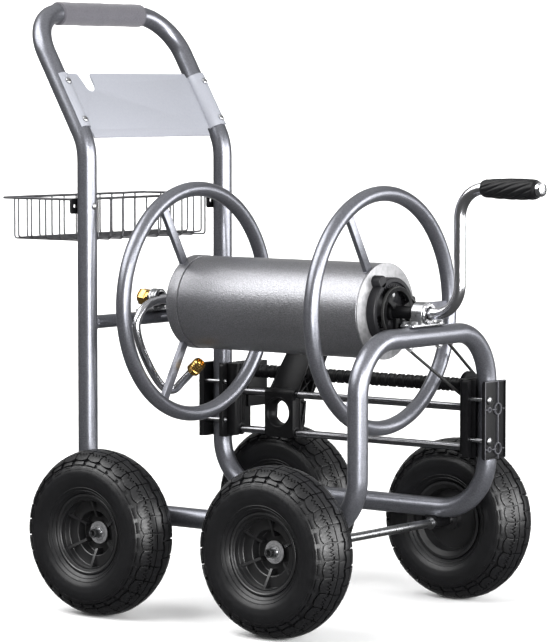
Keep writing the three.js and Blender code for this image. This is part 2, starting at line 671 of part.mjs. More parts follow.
/** The outline of a belt round both pulleys, in the plane across the cart. */
function beltOutline(grow) {
  const big = { y: 0, z: REEL_Z, r: DRIVE_R + grow };
  const small = { y: SCREW_Y, z: SCREW_Z, r: DRIVEN_R + grow };
  const [dy, dz] = [small.y - big.y, small.z - big.z];
  const direction = Math.atan2(dz, dy);
  const spread = Math.acos((big.r - small.r) / Math.hypot(dy, dz));
  const outline = new THREE.Path();
  outline.absarc(big.y, big.z, big.r, direction + spread, direction - spread + 2 * Math.PI, false);
  outline.absarc(small.y, small.z, small.r, direction - spread, direction + spread, false);
  outline.closePath();
  return outline;
}

function driveBelt() {
  const shape = new THREE.Shape(beltOutline(BELT_THICKNESS).getPoints(8).slice(0, -1));
  shape.holes.push(new THREE.Path(beltOutline(0).getPoints(8).slice(0, -1)));
  const flat = new THREE.ExtrudeGeometry(shape, { depth: BELT_WIDTH, bevelEnabled: false });
  const basis = new THREE.Matrix4().makeBasis(vec(0, 1, 0), vec(0, 0, 1), vec(1, 0, 0));
  return flat.applyMatrix4(basis.setPosition(BELT_X - BELT_WIDTH / 2, 0, 0));
}

/** The sliding eyelet block with a hood that leans over the lead screw, centred on its own x = 0. */
function carriage() {
  const half = { low: 28.5, high: 16 };
  const plate = box(-half.low, half.low, 157, 177, 241, 320);
  const hoodBase = [[157, 310], [177, 310], [212, 330]];
  const hoodTop = [[196, 384], [222, 384]];
  const corners = [];
  for (const sign of [-1, 1]) {
    for (const [y, z] of hoodBase) corners.push(vec(sign * half.low, y, z));
    for (const [y, z] of hoodTop) corners.push(vec(sign * half.high, y, z));
  }
  const hood = new ConvexGeometry(corners);
  const cuts = ROD_Z.map((z) => rodX(ROD_R + 0.6, -60, 60, GUIDE_Y, z, 12));
  cuts.push(rodX(SCREW_R + 0.8, -60, 60, SCREW_Y, SCREW_Z, 18));
  cuts.push(rodY(EYELET_R, 100, 240, 0, EYELET_Z, 24));
  return shaped([plate, hood], cuts);
}

function buildHoseGuide() {
  const inside = { rear: LEG_X + TUBE_R + 4, front: POST_X - TUBE_R - 4 };
  ['lower', 'upper'].forEach((level, i) => {
    const geometry = rodX(ROD_R, inside.rear, inside.front, 0, 0, 12);
    add(`guide_rod_${level}`, geometry, zinc, [0, GUIDE_Y, ROD_Z[i]]);
  });
  add('lead_screw', leadScrew(), blackPlastic, [0, SCREW_Y, SCREW_Z]);
  add('drive_belt', driveBelt(), blackRubber);
  add('carriage', carriage(), blackPlastic, [CARRIAGE_X, 0, 0]);
  for (const [end, x, outward] of [['rear', LEG_X, -1], ['front', POST_X, 1]]) {
    add(`guide_clamp_${end}_inner`, clampInner(x, outward), blackPlastic);
    add(`guide_clamp_${end}_outer`, clampOuter(end, x, outward), blackPlastic);
    CLAMP_BOLT_Z.forEach((z, i) => {
      const { geometry, headX } = clampBolt(end, x);
      add(`clamp_bolt_${end}_${i + 1}`, geometry, zinc, [headX, CLAMP_BOLT_Y, z]);
    });
  }
}

// ---- the whole cart -------------------------------------------------------------------------------
buildFrame();
buildHookPlate();
buildBasket();
buildRunningGear();
buildReel();
buildBearings();
buildHoseGuide();

/** Moves the cart so that the middle of its footprint is at the origin and the tyres stand on z = 0. */
function standOnOrigin(group) {
  group.updateMatrixWorld(true);
  const bounds = new THREE.Box3().setFromObject(group, true);
  const middle = bounds.getCenter(vec(0, 0, 0));
  group.position.set(-middle.x, -middle.y, -bounds.min.z);
}

standOnOrigin(cart);

export default cart;
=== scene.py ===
import math

import bmesh
import bpy
import numpy as np
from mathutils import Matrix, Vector
from mathutils.geometry import tessellate_polygon


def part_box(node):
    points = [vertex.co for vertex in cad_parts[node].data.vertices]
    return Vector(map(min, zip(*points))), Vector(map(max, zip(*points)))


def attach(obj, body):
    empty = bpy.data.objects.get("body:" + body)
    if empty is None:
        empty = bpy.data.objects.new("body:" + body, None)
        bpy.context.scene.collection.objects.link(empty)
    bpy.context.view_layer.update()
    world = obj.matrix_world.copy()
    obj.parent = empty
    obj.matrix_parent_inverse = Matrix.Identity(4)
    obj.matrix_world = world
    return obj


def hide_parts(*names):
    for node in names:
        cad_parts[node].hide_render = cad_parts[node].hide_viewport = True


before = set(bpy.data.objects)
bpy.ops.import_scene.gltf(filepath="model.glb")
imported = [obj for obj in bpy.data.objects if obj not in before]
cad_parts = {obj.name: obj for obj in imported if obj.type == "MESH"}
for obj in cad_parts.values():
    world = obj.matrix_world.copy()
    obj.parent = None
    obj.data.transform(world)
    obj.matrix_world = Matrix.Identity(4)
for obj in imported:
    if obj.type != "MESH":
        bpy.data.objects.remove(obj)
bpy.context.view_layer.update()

# Shapes are drawn in cart coordinates: millimetres from the ground under the middle of the wheelbase,
# +X towards the crank, +Y towards the hose guide, +Z up. piece() turns them into metres in the frame.
MM = 0.001


def middle(node, axis):
    low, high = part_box(node)
    return (low[axis] + high[axis]) / 2


MID_X = (middle("axle_rear", 0) + middle("axle_front", 0)) / 2


def cart_x(node):
    """The middle of a CAD node along X, in cart coordinates."""
    return (middle(node, 0) - MID_X) / MM


# ---- driving dimensions, in millimetres ----------------------------------------------------------
TUBE_R = 15.25
SIDE_Y = middle("rail_far", 1) / MM
LEG_X = cart_x("rear_crossbar")
POST_X = cart_x("front_bearing") + 3
RAIL_Z = 152
LOOP_Z = 432.5
LOOP_CORNER_R = 80
LOOP_FOOT_R = 82
LEG_FOOT_R = 80
RAIL_JOINT_X = 110
LEG_JOINT_Z = 262

HANDLE_BEND_Z = 714.5
HANDLE_TOP_X = cart_x("foam_grip")
HANDLE_TOP_Z = middle("foam_grip", 2) / MM
HANDLE_BEND_R = 86.7
HANDLE_CORNER_R = 73
HANDLE_LEAN = math.atan2(LEG_X - HANDLE_TOP_X, HANDLE_TOP_Z - HANDLE_BEND_Z)
FOAM_R = 18.5
FOAM_Y = [-101, 98.5]

CROSSBAR_R = 10.5
CROSSBAR_Z = middle("rear_crossbar", 2) / MM

REEL_Z = middle("drum", 2) / MM
DRUM_R = 73
DRUM_X = [-172.8, 195]
RING_R = 176.9
RING_TUBE_R = 11.7
RING_X = [cart_x("guard_ring_inlet"), cart_x("guard_ring_crank")]
SPOKE_X = [cart_x("spoke_inlet_1"), cart_x("spoke_crank_1")]
SPOKE_SIZE = [8, 14]
SPOKE_ANGLES = [30, 150, 270]
HUB_R = 12
HUB_X = -213.5
HOUSING_R = 51.5
HOUSING_X = [197.6, 213]
DRIVE_R = 35.5
DRIVEN_R = 20.5
BELT_X = cart_x("drive_belt")
PULLEY_HALF = 3.1  # half of the width between a pulley's flanges
HUB_SCREW_R = 26  # circle that the three housing screws stand on

CRANK_R = 9
CRANK_X = 331.6
CRANK_THROW = middle("crank_grip", 2) / MM - REEL_Z
CRANK_BEND_R = 44
CRANK_END_X = 478
GRIP_X = [374, 468]

GUIDE_Y = middle("guide_rod_lower", 1) / MM
ROD_R = 6
ROD_Z = [middle("guide_rod_lower", 2) / MM, middle("guide_rod_upper", 2) / MM]
SCREW_Y = middle("lead_screw", 1) / MM
SCREW_Z = middle("lead_screw", 2) / MM
SCREW_R = 11
SCREW_X = [-199, 209]
CLAMP_Z = [236, 356]
CLAMP_BOLT_Y = 145
CLAMP_BOLT_Z = [264, 326.5]
CARRIAGE_X = cart_x("carriage")
EYELET_R = 18.5
EYELET_Z = 281

WHEEL_Y = 234
WHEEL_R = 127
AXLE_R = 6.7
AXLE_X = {"rear": cart_x("axle_rear"), "front": cart_x("axle_front")}

BASKET_X = [-421, -272]
BASKET_Y = 174
BASKET_Z = [568, 630]
BRACKET_Z = 620

X, Y, Z = np.eye(3)


# ---- shape helpers: each returns (vertices, faces) ------------------------------------------------
def vec(*values):
    return np.array(values, float)


def unit(vectors):
    return vectors / np.linalg.norm(vectors, axis=-1, keepdims=True)


def bent_path(corners, radii, step=5):
    """Straight runs joined by arcs at the corners, with a point every few degrees of each arc."""
    corners = [np.array(c, float) for c in corners]
    points = [corners[0]]
    for before, corner, after, radius in zip(corners, corners[1:], corners[2:], radii):
        back, ahead = unit(before - corner), unit(after - corner)
        half = math.acos(float(back @ ahead)) / 2
        centre = corner + unit(back + ahead) * radius / math.sin(half)
        start = corner + back * radius / math.tan(half) - centre
        end = corner + ahead * radius / math.tan(half) - centre
        sweep = math.pi - 2 * half
        count = max(2, round(math.degrees(sweep) / step))
        for k in range(count + 1):
            angle = sweep * k / count
            swung = start * math.sin(sweep - angle) + end * math.sin(angle)
            points.append(centre + swung / math.sin(sweep))
    points.append(corners[-1])
    return np.array(points)


def grid_faces(rows, columns, wrap_rows=False, wrap_columns=True):
    faces = []
    for i in range(rows if wrap_rows else rows - 1):
        for j in range(columns if wrap_columns else columns - 1):
            i2, j2 = (i + 1) % rows, (j + 1) % columns
            faces.append((i * columns + j, i2 * columns + j, i2 * columns + j2, i * columns + j2))
    return faces


def tube(path, radius, sides=32, closed=False):
    """A round tube along a path; the radius may be a list with one value for each point."""
    path = np.asarray(path, float)
    count = len(path)
    radii = np.broadcast_to(np.asarray(radius, float), (count,))
    if closed:
        ahead = np.roll(path, -1, 0) - path
        back = path - np.roll(path, 1, 0)
    else:
        runs = np.diff(path, axis=0)
        ahead, back = np.vstack([runs, runs[-1:]]), np.vstack([runs[:1], runs])
    tangents = unit(unit(ahead) + unit(back))
    if closed:
        centred = path - path.mean(0)
        normal = unit(np.cross(centred, np.roll(centred, -1, 0)).sum(0))
    else:
        normal = unit(np.cross(tangents[0], X if abs(tangents[0][0]) < 0.9 else Y))
    angles = np.linspace(0, 2 * math.pi, sides, endpoint=False)
    rings = []
    for point, tangent, r in zip(path, tangents, radii):
        normal = unit(normal - tangent * (normal @ tangent))
        side = np.cross(tangent, normal)
        rings.append(point + r * (np.outer(np.cos(angles), normal) + np.outer(np.sin(angles), side)))
    faces = grid_faces(count, sides, wrap_rows=closed)
    if not closed:
        faces.append(tuple(range(sides))[::-1])
        faces.append(tuple(range((count - 1) * sides, count * sides)))
    return np.vstack(rings), faces


def rod(radius, start, end, sides=24, chamfer=0.6):
    """A straight round bar with a small chamfer at each end."""
    start, end = np.array(start, float), np.array(end, float)
    along = unit(end - start) * chamfer
    path = [start, start + along, end - along, end]
    return tube(path, [radius - chamfer, radius, radius, radius - chamfer], sides)


def basis(direction):
    """A direction at unit length, and two directions across it."""
    along = unit(np.array(direction, float))
    first = unit(np.cross(along, Z if abs(along[2]) < 0.9 else X))
    return along, first, np.cross(along, first)


def lathe(profile, direction, at, segments=64, closed=True):
    """Turns [radius, distance] pairs about a direction through a point."""
    along, first, second = basis(direction)
    at = np.array(at, float)
    angles = np.linspace(0, 2 * math.pi, segments, endpoint=False)
    rings = [at + along * a + r * (np.outer(np.cos(angles), first) + np.outer(np.sin(angles), second))
             for r, a in profile]
    faces = grid_faces(len(profile), segments, wrap_rows=closed)
    if not closed:
        faces.append(tuple(range(segments))[::-1])
        faces.append(tuple(range((len(profile) - 1) * segments, len(profile) * segments)))
    return np.vstack(rings), faces


def solid_lathe(profile, direction, at, segments=64):
    return lathe(profile, direction, at, segments, closed=False)


def arc(centre, radius, start, end, step=10):
    """Points on a circle from one angle to another, in degrees."""
    count = max(2, round(abs(end - start) / step))
    angles = np.radians(np.linspace(start, end, count + 1))
    return [(centre[0] + radius * math.cos(a), centre[1] + radius * math.sin(a)) for a in angles]


def rounded(x0, x1, y0, y1, radius, step=15):
    """A rectangle's outline with round corners."""
    left, right, bottom, top = x0 + radius, x1 - radius, y0 + radius, y1 - radius
    centres = [(right, top), (left, top), (left, bottom), (right, bottom)]
    return [p for k, c in enumerate(centres) for p in arc(c, radius, 90 * k, 90 * k + 90, step)]


def circle(centre, radius, step=12):
    return arc(centre, radius, 0, 360, step)[:-1]


def prism(outline, low, high, across, up, at=(0, 0, 0), holes=()):
    """Extrudes an outline, drawn along two directions, between two distances along their normal."""
    across, up = np.array(across, float), np.array(up, float)
    out = np.cross(across, up)
    loops = [list(outline), *[list(h) for h in holes]]
    flat = np.array([p for loop in loops for p in loop], float)
    count = len(flat)
    base = np.array(at, float) + np.outer(flat[:, 0], across) + np.outer(flat[:, 1], up)
    verts = np.vstack([base + out * low, base + out * high])
    caps = tessellate_polygon([[Vector((p[0], p[1], 0)) for p in loop] for loop in loops])
    faces = [tuple(t)[::-1] for t in caps] + [tuple(i + count for i in t) for t in caps]
    start = 0
    for loop in loops:
        for k in range(len(loop)):
            a, b = start + k, start + (k + 1) % len(loop)
            faces.append((a, b, b + count, a + count))
        start += len(loop)
    return verts, faces


def block(x0, x1, y0, y1, z0, z1):
    return prism([(x0, y0), (x1, y0), (x1, y1), (x0, y1)], z0, z1, X, Y)


def hexagon(across_flats, low, high, direction, at):
    """A hexagon head or nut with a chamfered outer edge."""
    r = across_flats / math.sqrt(3)
    return lathe([(0.1, low), (r, low), (r, high - 0.1 * r), (0.86 * r, high), (0.1, high)], direction, at, 6)


def radial(angle):
    """The outward and the sideways direction at an angle about X."""
    return vec(0, math.cos(angle), math.sin(angle)), vec(0, -math.sin(angle), math.cos(angle))


def bolt_head(direction, at, across_flats=10, height=4, flange=6.4):
    """A hexagon head on a round flange, standing on a surface at a point."""
    washer = solid_lathe([(flange, 0), (flange, 0.9), (flange - 1, 1.4), (0.5, 1.4)], direction, at, 32)
    return [washer, hexagon(across_flats, 1, height, direction, at)]


def dome(direction, at, radius, height):
    """A low round head on a surface."""
    steps = [(radius * math.cos(a), height * (0.25 + 0.75 * math.sin(a))) for a in np.linspace(0, 1.5, 7)]
    return solid_lathe([(radius, 0), *steps], direction, at, 32)


# ---- pieces ---------------------------------------------------------------------------------------
def piece(name, shapes, body, material, replaces=(), soften=0.0, crease=35):
    """Joins shapes into one object in the frame, with rounded edges, and rides it on a CAD body."""
    bm = bmesh.new()
    for verts, faces in shapes:
        made = [bm.verts.new((p[0] * MM + MID_X, p[1] * MM, p[2] * MM)) for p in verts]
        for face in faces:
            bm.faces.new([made[i] for i in face])
    bmesh.ops.recalc_face_normals(bm, faces=bm.faces)
    if soften:
        sharp = [e for e in bm.edges if len(e.link_faces) == 2 and e.calc_face_angle(0) > math.radians(50)]
        bmesh.ops.bevel(bm, geom=sharp, offset=soften * MM, segments=2, profile=0.6, affect="EDGES")
    mesh = bpy.data.meshes.new(name)
    bm.to_mesh(mesh)
    bm.free()
    for polygon in mesh.polygons:
        polygon.use_smooth = True
    mesh.set_sharp_from_angle(angle=math.radians(crease))
    obj = bpy.data.objects.new(name, mesh)
    bpy.context.scene.collection.objects.link(obj)
    mesh.materials.append(material)
    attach(obj, body)
    if replaces:
        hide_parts(*replaces)
    return obj


# ---- materials ------------------------------------------------------------------------------------
class Surface:
    """A Principled material whose colour, roughness and relief come from procedural textures."""

    def __init__(self, name, slot, metallic=0.0, **sockets):
        self.material = bpy.data.materials.new(name)
        self.material["slot"] = slot
        self.material.use_nodes = True
        self.tree = self.material.node_tree
        self.shader = self.tree.nodes["Principled BSDF"]
        self.shader.inputs["Metallic"].default_value = metallic
        for socket, value in sockets.items():
            self.shader.inputs[socket.replace("_", " ")].default_value = value
        self.place = self.tree.nodes.new("ShaderNodeTexCoord").outputs["Object"]
        self.height = None

    def link(self, source, target):
        self.tree.links.new(source, target)

    def noise(self, size, detail=4.0, stretch=(1, 1, 1)):
        """Cloudy noise whose features are about this many millimetres across."""
        mapping = self.tree.nodes.new("ShaderNodeMapping")
        mapping.inputs["Scale"].default_value = stretch
        self.link(self.place, mapping.inputs["Vector"])
        texture = self.tree.nodes.new("ShaderNodeTexNoise")
        texture.inputs["Scale"].default_value = 1 / (size * MM)
        texture.inputs["Detail"].default_value = detail
        self.link(mapping.outputs["Vector"], texture.inputs["Vector"])
        return texture.outputs["Fac"]

    def cells(self, size):
        """Soft round dimples about this many millimetres across."""
        texture = self.tree.nodes.new("ShaderNodeTexVoronoi")
        texture.feature = "SMOOTH_F1"
        texture.inputs["Scale"].default_value = 1 / (size * MM)
        self.link(self.place, texture.inputs["Vector"])
        return texture.outputs["Distance"]

    def remap(self, source, low, high, start=0.3, end=0.7):
        node = self.tree.nodes.new("ShaderNodeMapRange")
        for socket, value in (("From Min", start), ("From Max", end), ("To Min", low), ("To Max", high)):
            node.inputs[socket].default_value = value
        self.link(source, node.inputs["Value"])
        return node.outputs["Result"]

    def colour(self, source, dark, light, start=0.3, end=0.7):
        ramp = self.tree.nodes.new("ShaderNodeValToRGB")
        ramp.color_ramp.elements[0].position = start
        ramp.color_ramp.elements[1].position = end
        ramp.color_ramp.elements[0].color = (*dark, 1)
        ramp.color_ramp.elements[1].color = (*light, 1)
        self.link(source, ramp.inputs["Fac"])
        self.link(ramp.outputs["Color"], self.shader.inputs["Base Color"])
        return self

    def rough(self, source, low, high, start=0.3, end=0.7):
        self.link(self.remap(source, low, high, start, end), self.shader.inputs["Roughness"])
        return self

    def bump(self, source, depth, strength=1.0):
        """Relief of this depth in millimetres; calls add up."""
        node = self.tree.nodes.new("ShaderNodeBump")
        node.inputs["Distance"].default_value = depth * MM
        node.inputs["Strength"].default_value = strength
        self.link(source, node.inputs["Height"])
        if self.height is not None:
            self.link(self.height, node.inputs["Normal"])
        self.height = node.outputs["Normal"]
        self.link(self.height, self.shader.inputs["Normal"])
        return self


def hammered_paint():
    s = Surface("hammered_silver_paint", "silver_paint", metallic=0.85, Coat_Weight=0.15, Coat_Roughness=0.2)
    grain = s.noise(2.2, detail=3)
    s.colour(grain, (0.15, 0.154, 0.175), (0.2, 0.204, 0.226), 0.35, 0.65)
    s.rough(s.noise(9), 0.3, 0.38)
    return s.bump(s.cells(3.0), 0.1, 0.4).bump(grain, 0.03, 0.3).material


def drum_paint():
    s = Surface("hammered_drum_paint", "silver_paint", metallic=0.85, Coat_Weight=0.1, Coat_Roughness=0.25)
    grain = s.noise(1.6, detail=5)
    s.colour(grain, (0.17, 0.172, 0.182), (0.25, 0.25, 0.264), 0.36, 0.62)
    s.rough(s.noise(7), 0.32, 0.4)
    return s.bump(s.cells(1.8), 0.3, 1.0).bump(grain, 0.16, 0.8).material


def plate_paint():
    s = Surface("flat_grey_paint", "pale_paint", metallic=0.2, Coat_Weight=0.1, Coat_Roughness=0.35)
    s.colour(s.noise(3, detail=6), (0.25, 0.257, 0.288), (0.268, 0.276, 0.305))
    s.rough(s.noise(5), 0.44, 0.52)
    return s.bump(s.noise(1.2), 0.03, 0.4).material


def zinc_plating():
    s = Surface("zinc_plating", "zinc", metallic=1.0)
    s.colour(s.noise(4, detail=6), (0.32, 0.324, 0.332), (0.4, 0.404, 0.412))
    s.rough(s.noise(3.5, detail=6), 0.26, 0.34)
    return s.bump(s.noise(0.9), 0.01, 0.3).material


def disc_plating():
    s = Surface("disc_plating", "zinc", metallic=0.55)
    s.colour(s.noise(7, detail=7), (0.2, 0.2, 0.207), (0.27, 0.27, 0.276), 0.35, 0.6)
    s.rough(s.noise(3.5, detail=6), 0.4, 0.52)
    return s.bump(s.noise(1.2), 0.03, 0.4).material


def drawn_steel():
    s = Surface("drawn_steel", "zinc", metallic=1.0)
    lines = s.noise(1.0, detail=3, stretch=(0.02, 1, 1))
    s.colour(s.noise(20, detail=5), (0.22, 0.22, 0.232), (0.28, 0.28, 0.292))
    s.rough(lines, 0.24, 0.32)
    return s.bump(lines, 0.006, 0.3).material


def chrome_plating():
    s = Surface("chrome_plating", "chrome", metallic=1.0)
    s.colour(s.noise(25), (0.56, 0.56, 0.58), (0.64, 0.64, 0.66))
    s.rough(s.noise(30), 0.2, 0.23)
    return s.bump(s.noise(6), 0.004, 0.2).material


def polished_brass():
    s = Surface("polished_brass", "brass", metallic=1.0)
    s.colour(s.noise(5, detail=6), (0.62, 0.38, 0.11), (0.74, 0.48, 0.16))
    s.rough(s.noise(2.5), 0.16, 0.22)
    return s.bump(s.noise(0.8), 0.006, 0.3).material


def moulded_plastic(name="moulded_black_plastic", light=1.0, gloss=0.2):
    s = Surface(name, "black_plastic", Specular_IOR_Level=gloss)
    shades = [tuple(light * c for c in tone) for tone in ((0.0035, 0.0035, 0.004), (0.005, 0.005, 0.0056))]
    s.colour(s.noise(8, detail=6), *shades)
    s.rough(s.noise(3), 0.36, 0.48)
    return s.bump(s.noise(0.45, detail=2), 0.03, 0.6).material


def tyre_rubber():
    s = Surface("tyre_rubber", "tyre_rubber", Specular_IOR_Level=0.42)
    s.colour(s.noise(18, detail=8), (0.0035, 0.0035, 0.004), (0.005, 0.005, 0.0058))
    s.rough(s.noise(5, detail=6), 0.34, 0.44)
    return s.bump(s.noise(0.6, detail=3), 0.04, 0.5).material


def belt_rubber():
    s = Surface("belt_rubber", "belt_rubber")
    s.colour(s.noise(3), (0.012, 0.012, 0.012), (0.022, 0.022, 0.022))
    s.rough(s.noise(2), 0.55, 0.7)
    return s.bump(s.noise(0.5), 0.03, 0.5).material


def grip_foam():
    s = Surface("grip_foam", "foam", Sheen_Weight=0.15, Sheen_Roughness=0.5)
    s.colour(s.noise(1.4, detail=4), (0.05, 0.048, 0.056), (0.075, 0.072, 0.084), 0.35, 0.6)
    s.rough(s.noise(4), 0.8, 0.92)
    return s.bump(s.noise(0.9, detail=3), 0.12, 0.7).bump(s.cells(1.1), 0.08, 0.4).material


def basket_wire():
    s = Surface("basket_wire", "wire", metallic=0.9)
    s.colour(s.noise(9, detail=5), (0.07, 0.07, 0.075), (0.12, 0.12, 0.125))
    s.rough(s.noise(3), 0.28, 0.42)
    return s.bump(s.noise(1.0), 0.03, 0.4).material


PAINT = hammered_paint()
DRUM_PAINT = drum_paint()
PLATE = plate_paint()
ZINC = zinc_plating()
STEEL = drawn_steel()
CHROME = chrome_plating()
BRASS = polished_brass()
PLASTIC = moulded_plastic()
GREY_PLASTIC = moulded_plastic("moulded_grey_plastic", light=3.0)
# a paler copy of the black plastic: painted highlight on the rib tops of the front outer clamp
RIB_HIGHLIGHT_PLASTIC = moulded_plastic("painted_highlight_plastic", light=12, gloss=0.4)
RIM_PLASTIC = moulded_plastic("moulded_rim_plastic", light=1.0, gloss=0.8)
RUBBER = tyre_rubber()
BELT = belt_rubber()
FOAM = grip_foam()
DISC = disc_plating()
WIRE = basket_wire()


# ---- tube frame -----------------------------------------------------------------------------------
LEAN_UP = vec(-math.sin(HANDLE_LEAN), 0, math.cos(HANDLE_LEAN))
LEAN_FRONT = vec(math.cos(HANDLE_LEAN), 0, math.sin(HANDLE_LEAN))


def on_handle(up, out, y):
    return vec(LEG_X, y, HANDLE_BEND_Z) + LEAN_UP * up + LEAN_FRONT * out


def handle_path():
    def side(y):
        return [(LEG_X, y, LEG_JOINT_Z), (LEG_X, y, HANDLE_BEND_Z), (HANDLE_TOP_X, y, HANDLE_TOP_Z)]
    bends = [HANDLE_BEND_R, HANDLE_CORNER_R, HANDLE_CORNER_R, HANDLE_BEND_R]
    return bent_path([*side(-SIDE_Y), *reversed(side(SIDE_Y))], bends, step=3)


def frame_tubes():
    piece("handle_tube_smooth", [tube(handle_path(), TUBE_R, 40)], "frame", PAINT, ["handle_tube"])

    def side(y):
        return [(RAIL_JOINT_X + 0.3, y, RAIL_Z), (POST_X, y, RAIL_Z), (POST_X, y, LOOP_Z)]
    bends = [LOOP_FOOT_R, LOOP_CORNER_R, LOOP_CORNER_R, LOOP_FOOT_R]
    loop = bent_path([*side(-SIDE_Y), *reversed(side(SIDE_Y))], bends, step=3)
    piece("front_loop_smooth", [tube(loop, TUBE_R, 40)], "frame", PAINT, ["front_loop"])
    for name, y in (("near", -SIDE_Y), ("far", SIDE_Y)):
        corners = [(RAIL_JOINT_X, y, RAIL_Z), (LEG_X, y, RAIL_Z), (LEG_X, y, LEG_JOINT_Z - 0.3)]
        rail = tube(bent_path(corners, [LEG_FOOT_R], step=3), TUBE_R, 40)
        piece(f"rail_{name}_smooth", [rail], "frame", PAINT, [f"rail_{name}"])
    reach = SIDE_Y - math.sqrt(TUBE_R ** 2 - CROSSBAR_R ** 2)
    bar = rod(CROSSBAR_R, (LEG_X, -reach, CROSSBAR_Z), (LEG_X, reach, CROSSBAR_Z), 36)
    weld_y = SIDE_Y - TUBE_R + 1
    welds = [weld_bead(CROSSBAR_R, Y * sign, (LEG_X, sign * weld_y, CROSSBAR_Z)) for sign in (-1, 1)]
    piece("rear_crossbar_smooth", [bar, *welds], "frame", PAINT, ["rear_crossbar"])


def weld_bead(radius, direction, at, thickness=2.2):
    """A rippled ring of weld round a bar, at a point on its axis."""
    _, first, second = basis(direction)
    angles = np.linspace(0, 2 * math.pi, 90, endpoint=False)
    path = np.array(at, float) + radius * (np.outer(np.cos(angles), first) + np.outer(np.sin(angles), second))
    return tube(path, thickness * (1 + 0.16 * np.sin(18 * angles)), 10, closed=True)


def foam_grip():
    """The foam sleeve follows the middle of the handle's path, with round lips and a slight swell."""
    handle = handle_path()
    inside = handle[(handle[:, 1] > FOAM_Y[0]) & (handle[:, 1] < FOAM_Y[1])]
    bar = handle[20:-20]
    ends = [np.array([np.interp(y, bar[:, 1], bar[:, k]) for k in range(3)]) for y in FOAM_Y]
    stations = np.vstack([ends[0], inside, ends[1]])
    length = np.concatenate([[0], np.cumsum(np.linalg.norm(np.diff(stations, axis=0), axis=1))])
    fine = np.linspace(0, length[-1], 90)
    path = np.column_stack([np.interp(fine, length, stations[:, k]) for k in range(3)])
    from_end = np.minimum(fine, length[-1] - fine)
    lip = 2.5
    rounding = lip - np.sqrt(np.maximum(0, lip ** 2 - np.maximum(0, lip - from_end) ** 2))
    swell = 0.25 * np.sin(fine / 9) * np.sin(fine / 23)
    sleeve = tube(path, FOAM_R - rounding + swell, 56)
    grip = piece("foam_grip_sleeve", [sleeve], "frame", FOAM, ["foam_grip"])


# ---- hook plate -----------------------------------------------------------------------------------
PLATE_UP = [12, 127]
EAR_UP = [25, 120]
PLATE_BOLT_UP = [36, 104]
EAR_END = 40  # degrees that an ear rolls past a leg's front


def hook_plate():
    edge = SIDE_Y - TUBE_R
    low, high = PLATE_UP
    slot = {"y": -100, "up": 106, "radius": 11}
    outline = [(edge - 10, low), (edge - 9, EAR_UP[0]), (edge, EAR_UP[0] + 2), (edge, EAR_UP[1] - 2),
               (edge - 5, EAR_UP[1]), (edge - 6, high)]
    outline += [*arc((-85, high - 4), 4, 90, 180, 30), (slot["y"] + slot["radius"], slot["up"])]
    outline += arc((slot["y"], slot["up"]), slot["radius"], 0, -180)
    outline += arc((-123, high - 7), 7, 15, 90, 15)
    outline += [(6 - edge, high), (5 - edge, EAR_UP[1]), (-edge, EAR_UP[1] - 2), (-edge, EAR_UP[0] + 2),
                (9 - edge, EAR_UP[0]), (10 - edge, low)]
    shapes = [prism(outline[::-1], -1.2, 1.2, Y, LEAN_UP, on_handle(0, 0, 0))]
    inner_r, outer_r = TUBE_R + 0.15, TUBE_R + 2.3
    for sign in (-1, 1):
        def around(radius, angles):
            return [(sign * (SIDE_Y + radius * math.sin(math.radians(a))), radius * math.cos(math.radians(a)))
                    for a in angles]
        angles = np.linspace(-94, EAR_END, 28)
        section = around(outer_r, angles) + around(inner_r, angles[::-1])
        shapes.append(prism(section, -EAR_UP[1], -EAR_UP[0], Y, LEAN_FRONT, on_handle(0, 0, 0)))
    piece("hook_plate_sheet", shapes, "frame", PLATE, ["hook_plate"], soften=0.5, crease=30)
    count = 0
    for y in (-SIDE_Y, SIDE_Y):
        for up in PLATE_BOLT_UP:
            count += 1
            head = [dome(LEAN_FRONT, on_handle(up, outer_r, y), 5.2, 3.0)]
            tail = [rod(2.6, on_handle(up, -TUBE_R, y), on_handle(up, -TUBE_R - 3, y)),
                    hexagon(6, 0, 2.2, -LEAN_FRONT, on_handle(up, -TUBE_R + 0.4, y))]
            piece(f"plate_bolt_{count}_domed", head, "frame", ZINC, [f"plate_bolt_{count}"])
            piece(f"plate_bolt_{count}_nut", tail, "frame", PLASTIC)


# ---- wire basket ----------------------------------------------------------------------------------
def hoop(along, across, low, high, corner, axis, place, radius=1.4):
    """An open U of wire from rim to rim, in a plane across X or Y."""
    def at(u, z):
        return (place, u, z) if axis == "x" else (u, place, z)
    corners = [at(along, high), at(along, low), at(across, low), at(across, high)]
    return tube(bent_path(corners, [corner, corner], step=12), radius, 12)


def basket():
    (x0, x1), (z0, z1) = BASKET_X, BASKET_Z
    outline = rounded(x0, x1, -BASKET_Y, BASKET_Y, 5)
    rim = tube([(x, y, z1) for x, y in outline], 2.0, 14, closed=True)
    long_wires = [hoop(-BASKET_Y, BASKET_Y, z0, z1, 5, "x", x) for x in (-388, -361, -331, -302)]
    cross_wires = [hoop(x0, x1, z0 - 2.6, z1, 5, "y", y) for y in np.linspace(-147, 147, 11)]
    piece("wire_basket", [rim, *long_wires, *cross_wires], "frame", WIRE, ["basket"])
    for name, sign in (("near", -1), ("far", 1)):
        y = sign * SIDE_Y
        back, front = BASKET_X[1] + 2.2, LEG_X - TUBE_R + 0.2
        outline = rounded(-20, 20, -12, 12, 4)
        holes = [circle((shift, 0), 3.2) for shift in (-11, 11)]
        plate = prism(outline, back, front, Y, Z, (0, y, BRACKET_Z), holes)
        lip = block(back - 1.5, back + 1.4, y - 14, y + 14, BASKET_Z[1] - 4, BASKET_Z[1] + 2)
        replaced = [f"basket_bracket_{name}"]
        piece(f"basket_bracket_{name}_plate", [plate, lip], "frame", PLASTIC, replaced, soften=0.6)
        head = dome(X, (LEG_X + TUBE_R - 0.6, y, BRACKET_Z), 5.5, 3.2)
        piece(f"basket_screw_{name}", [head], "frame", ZINC)


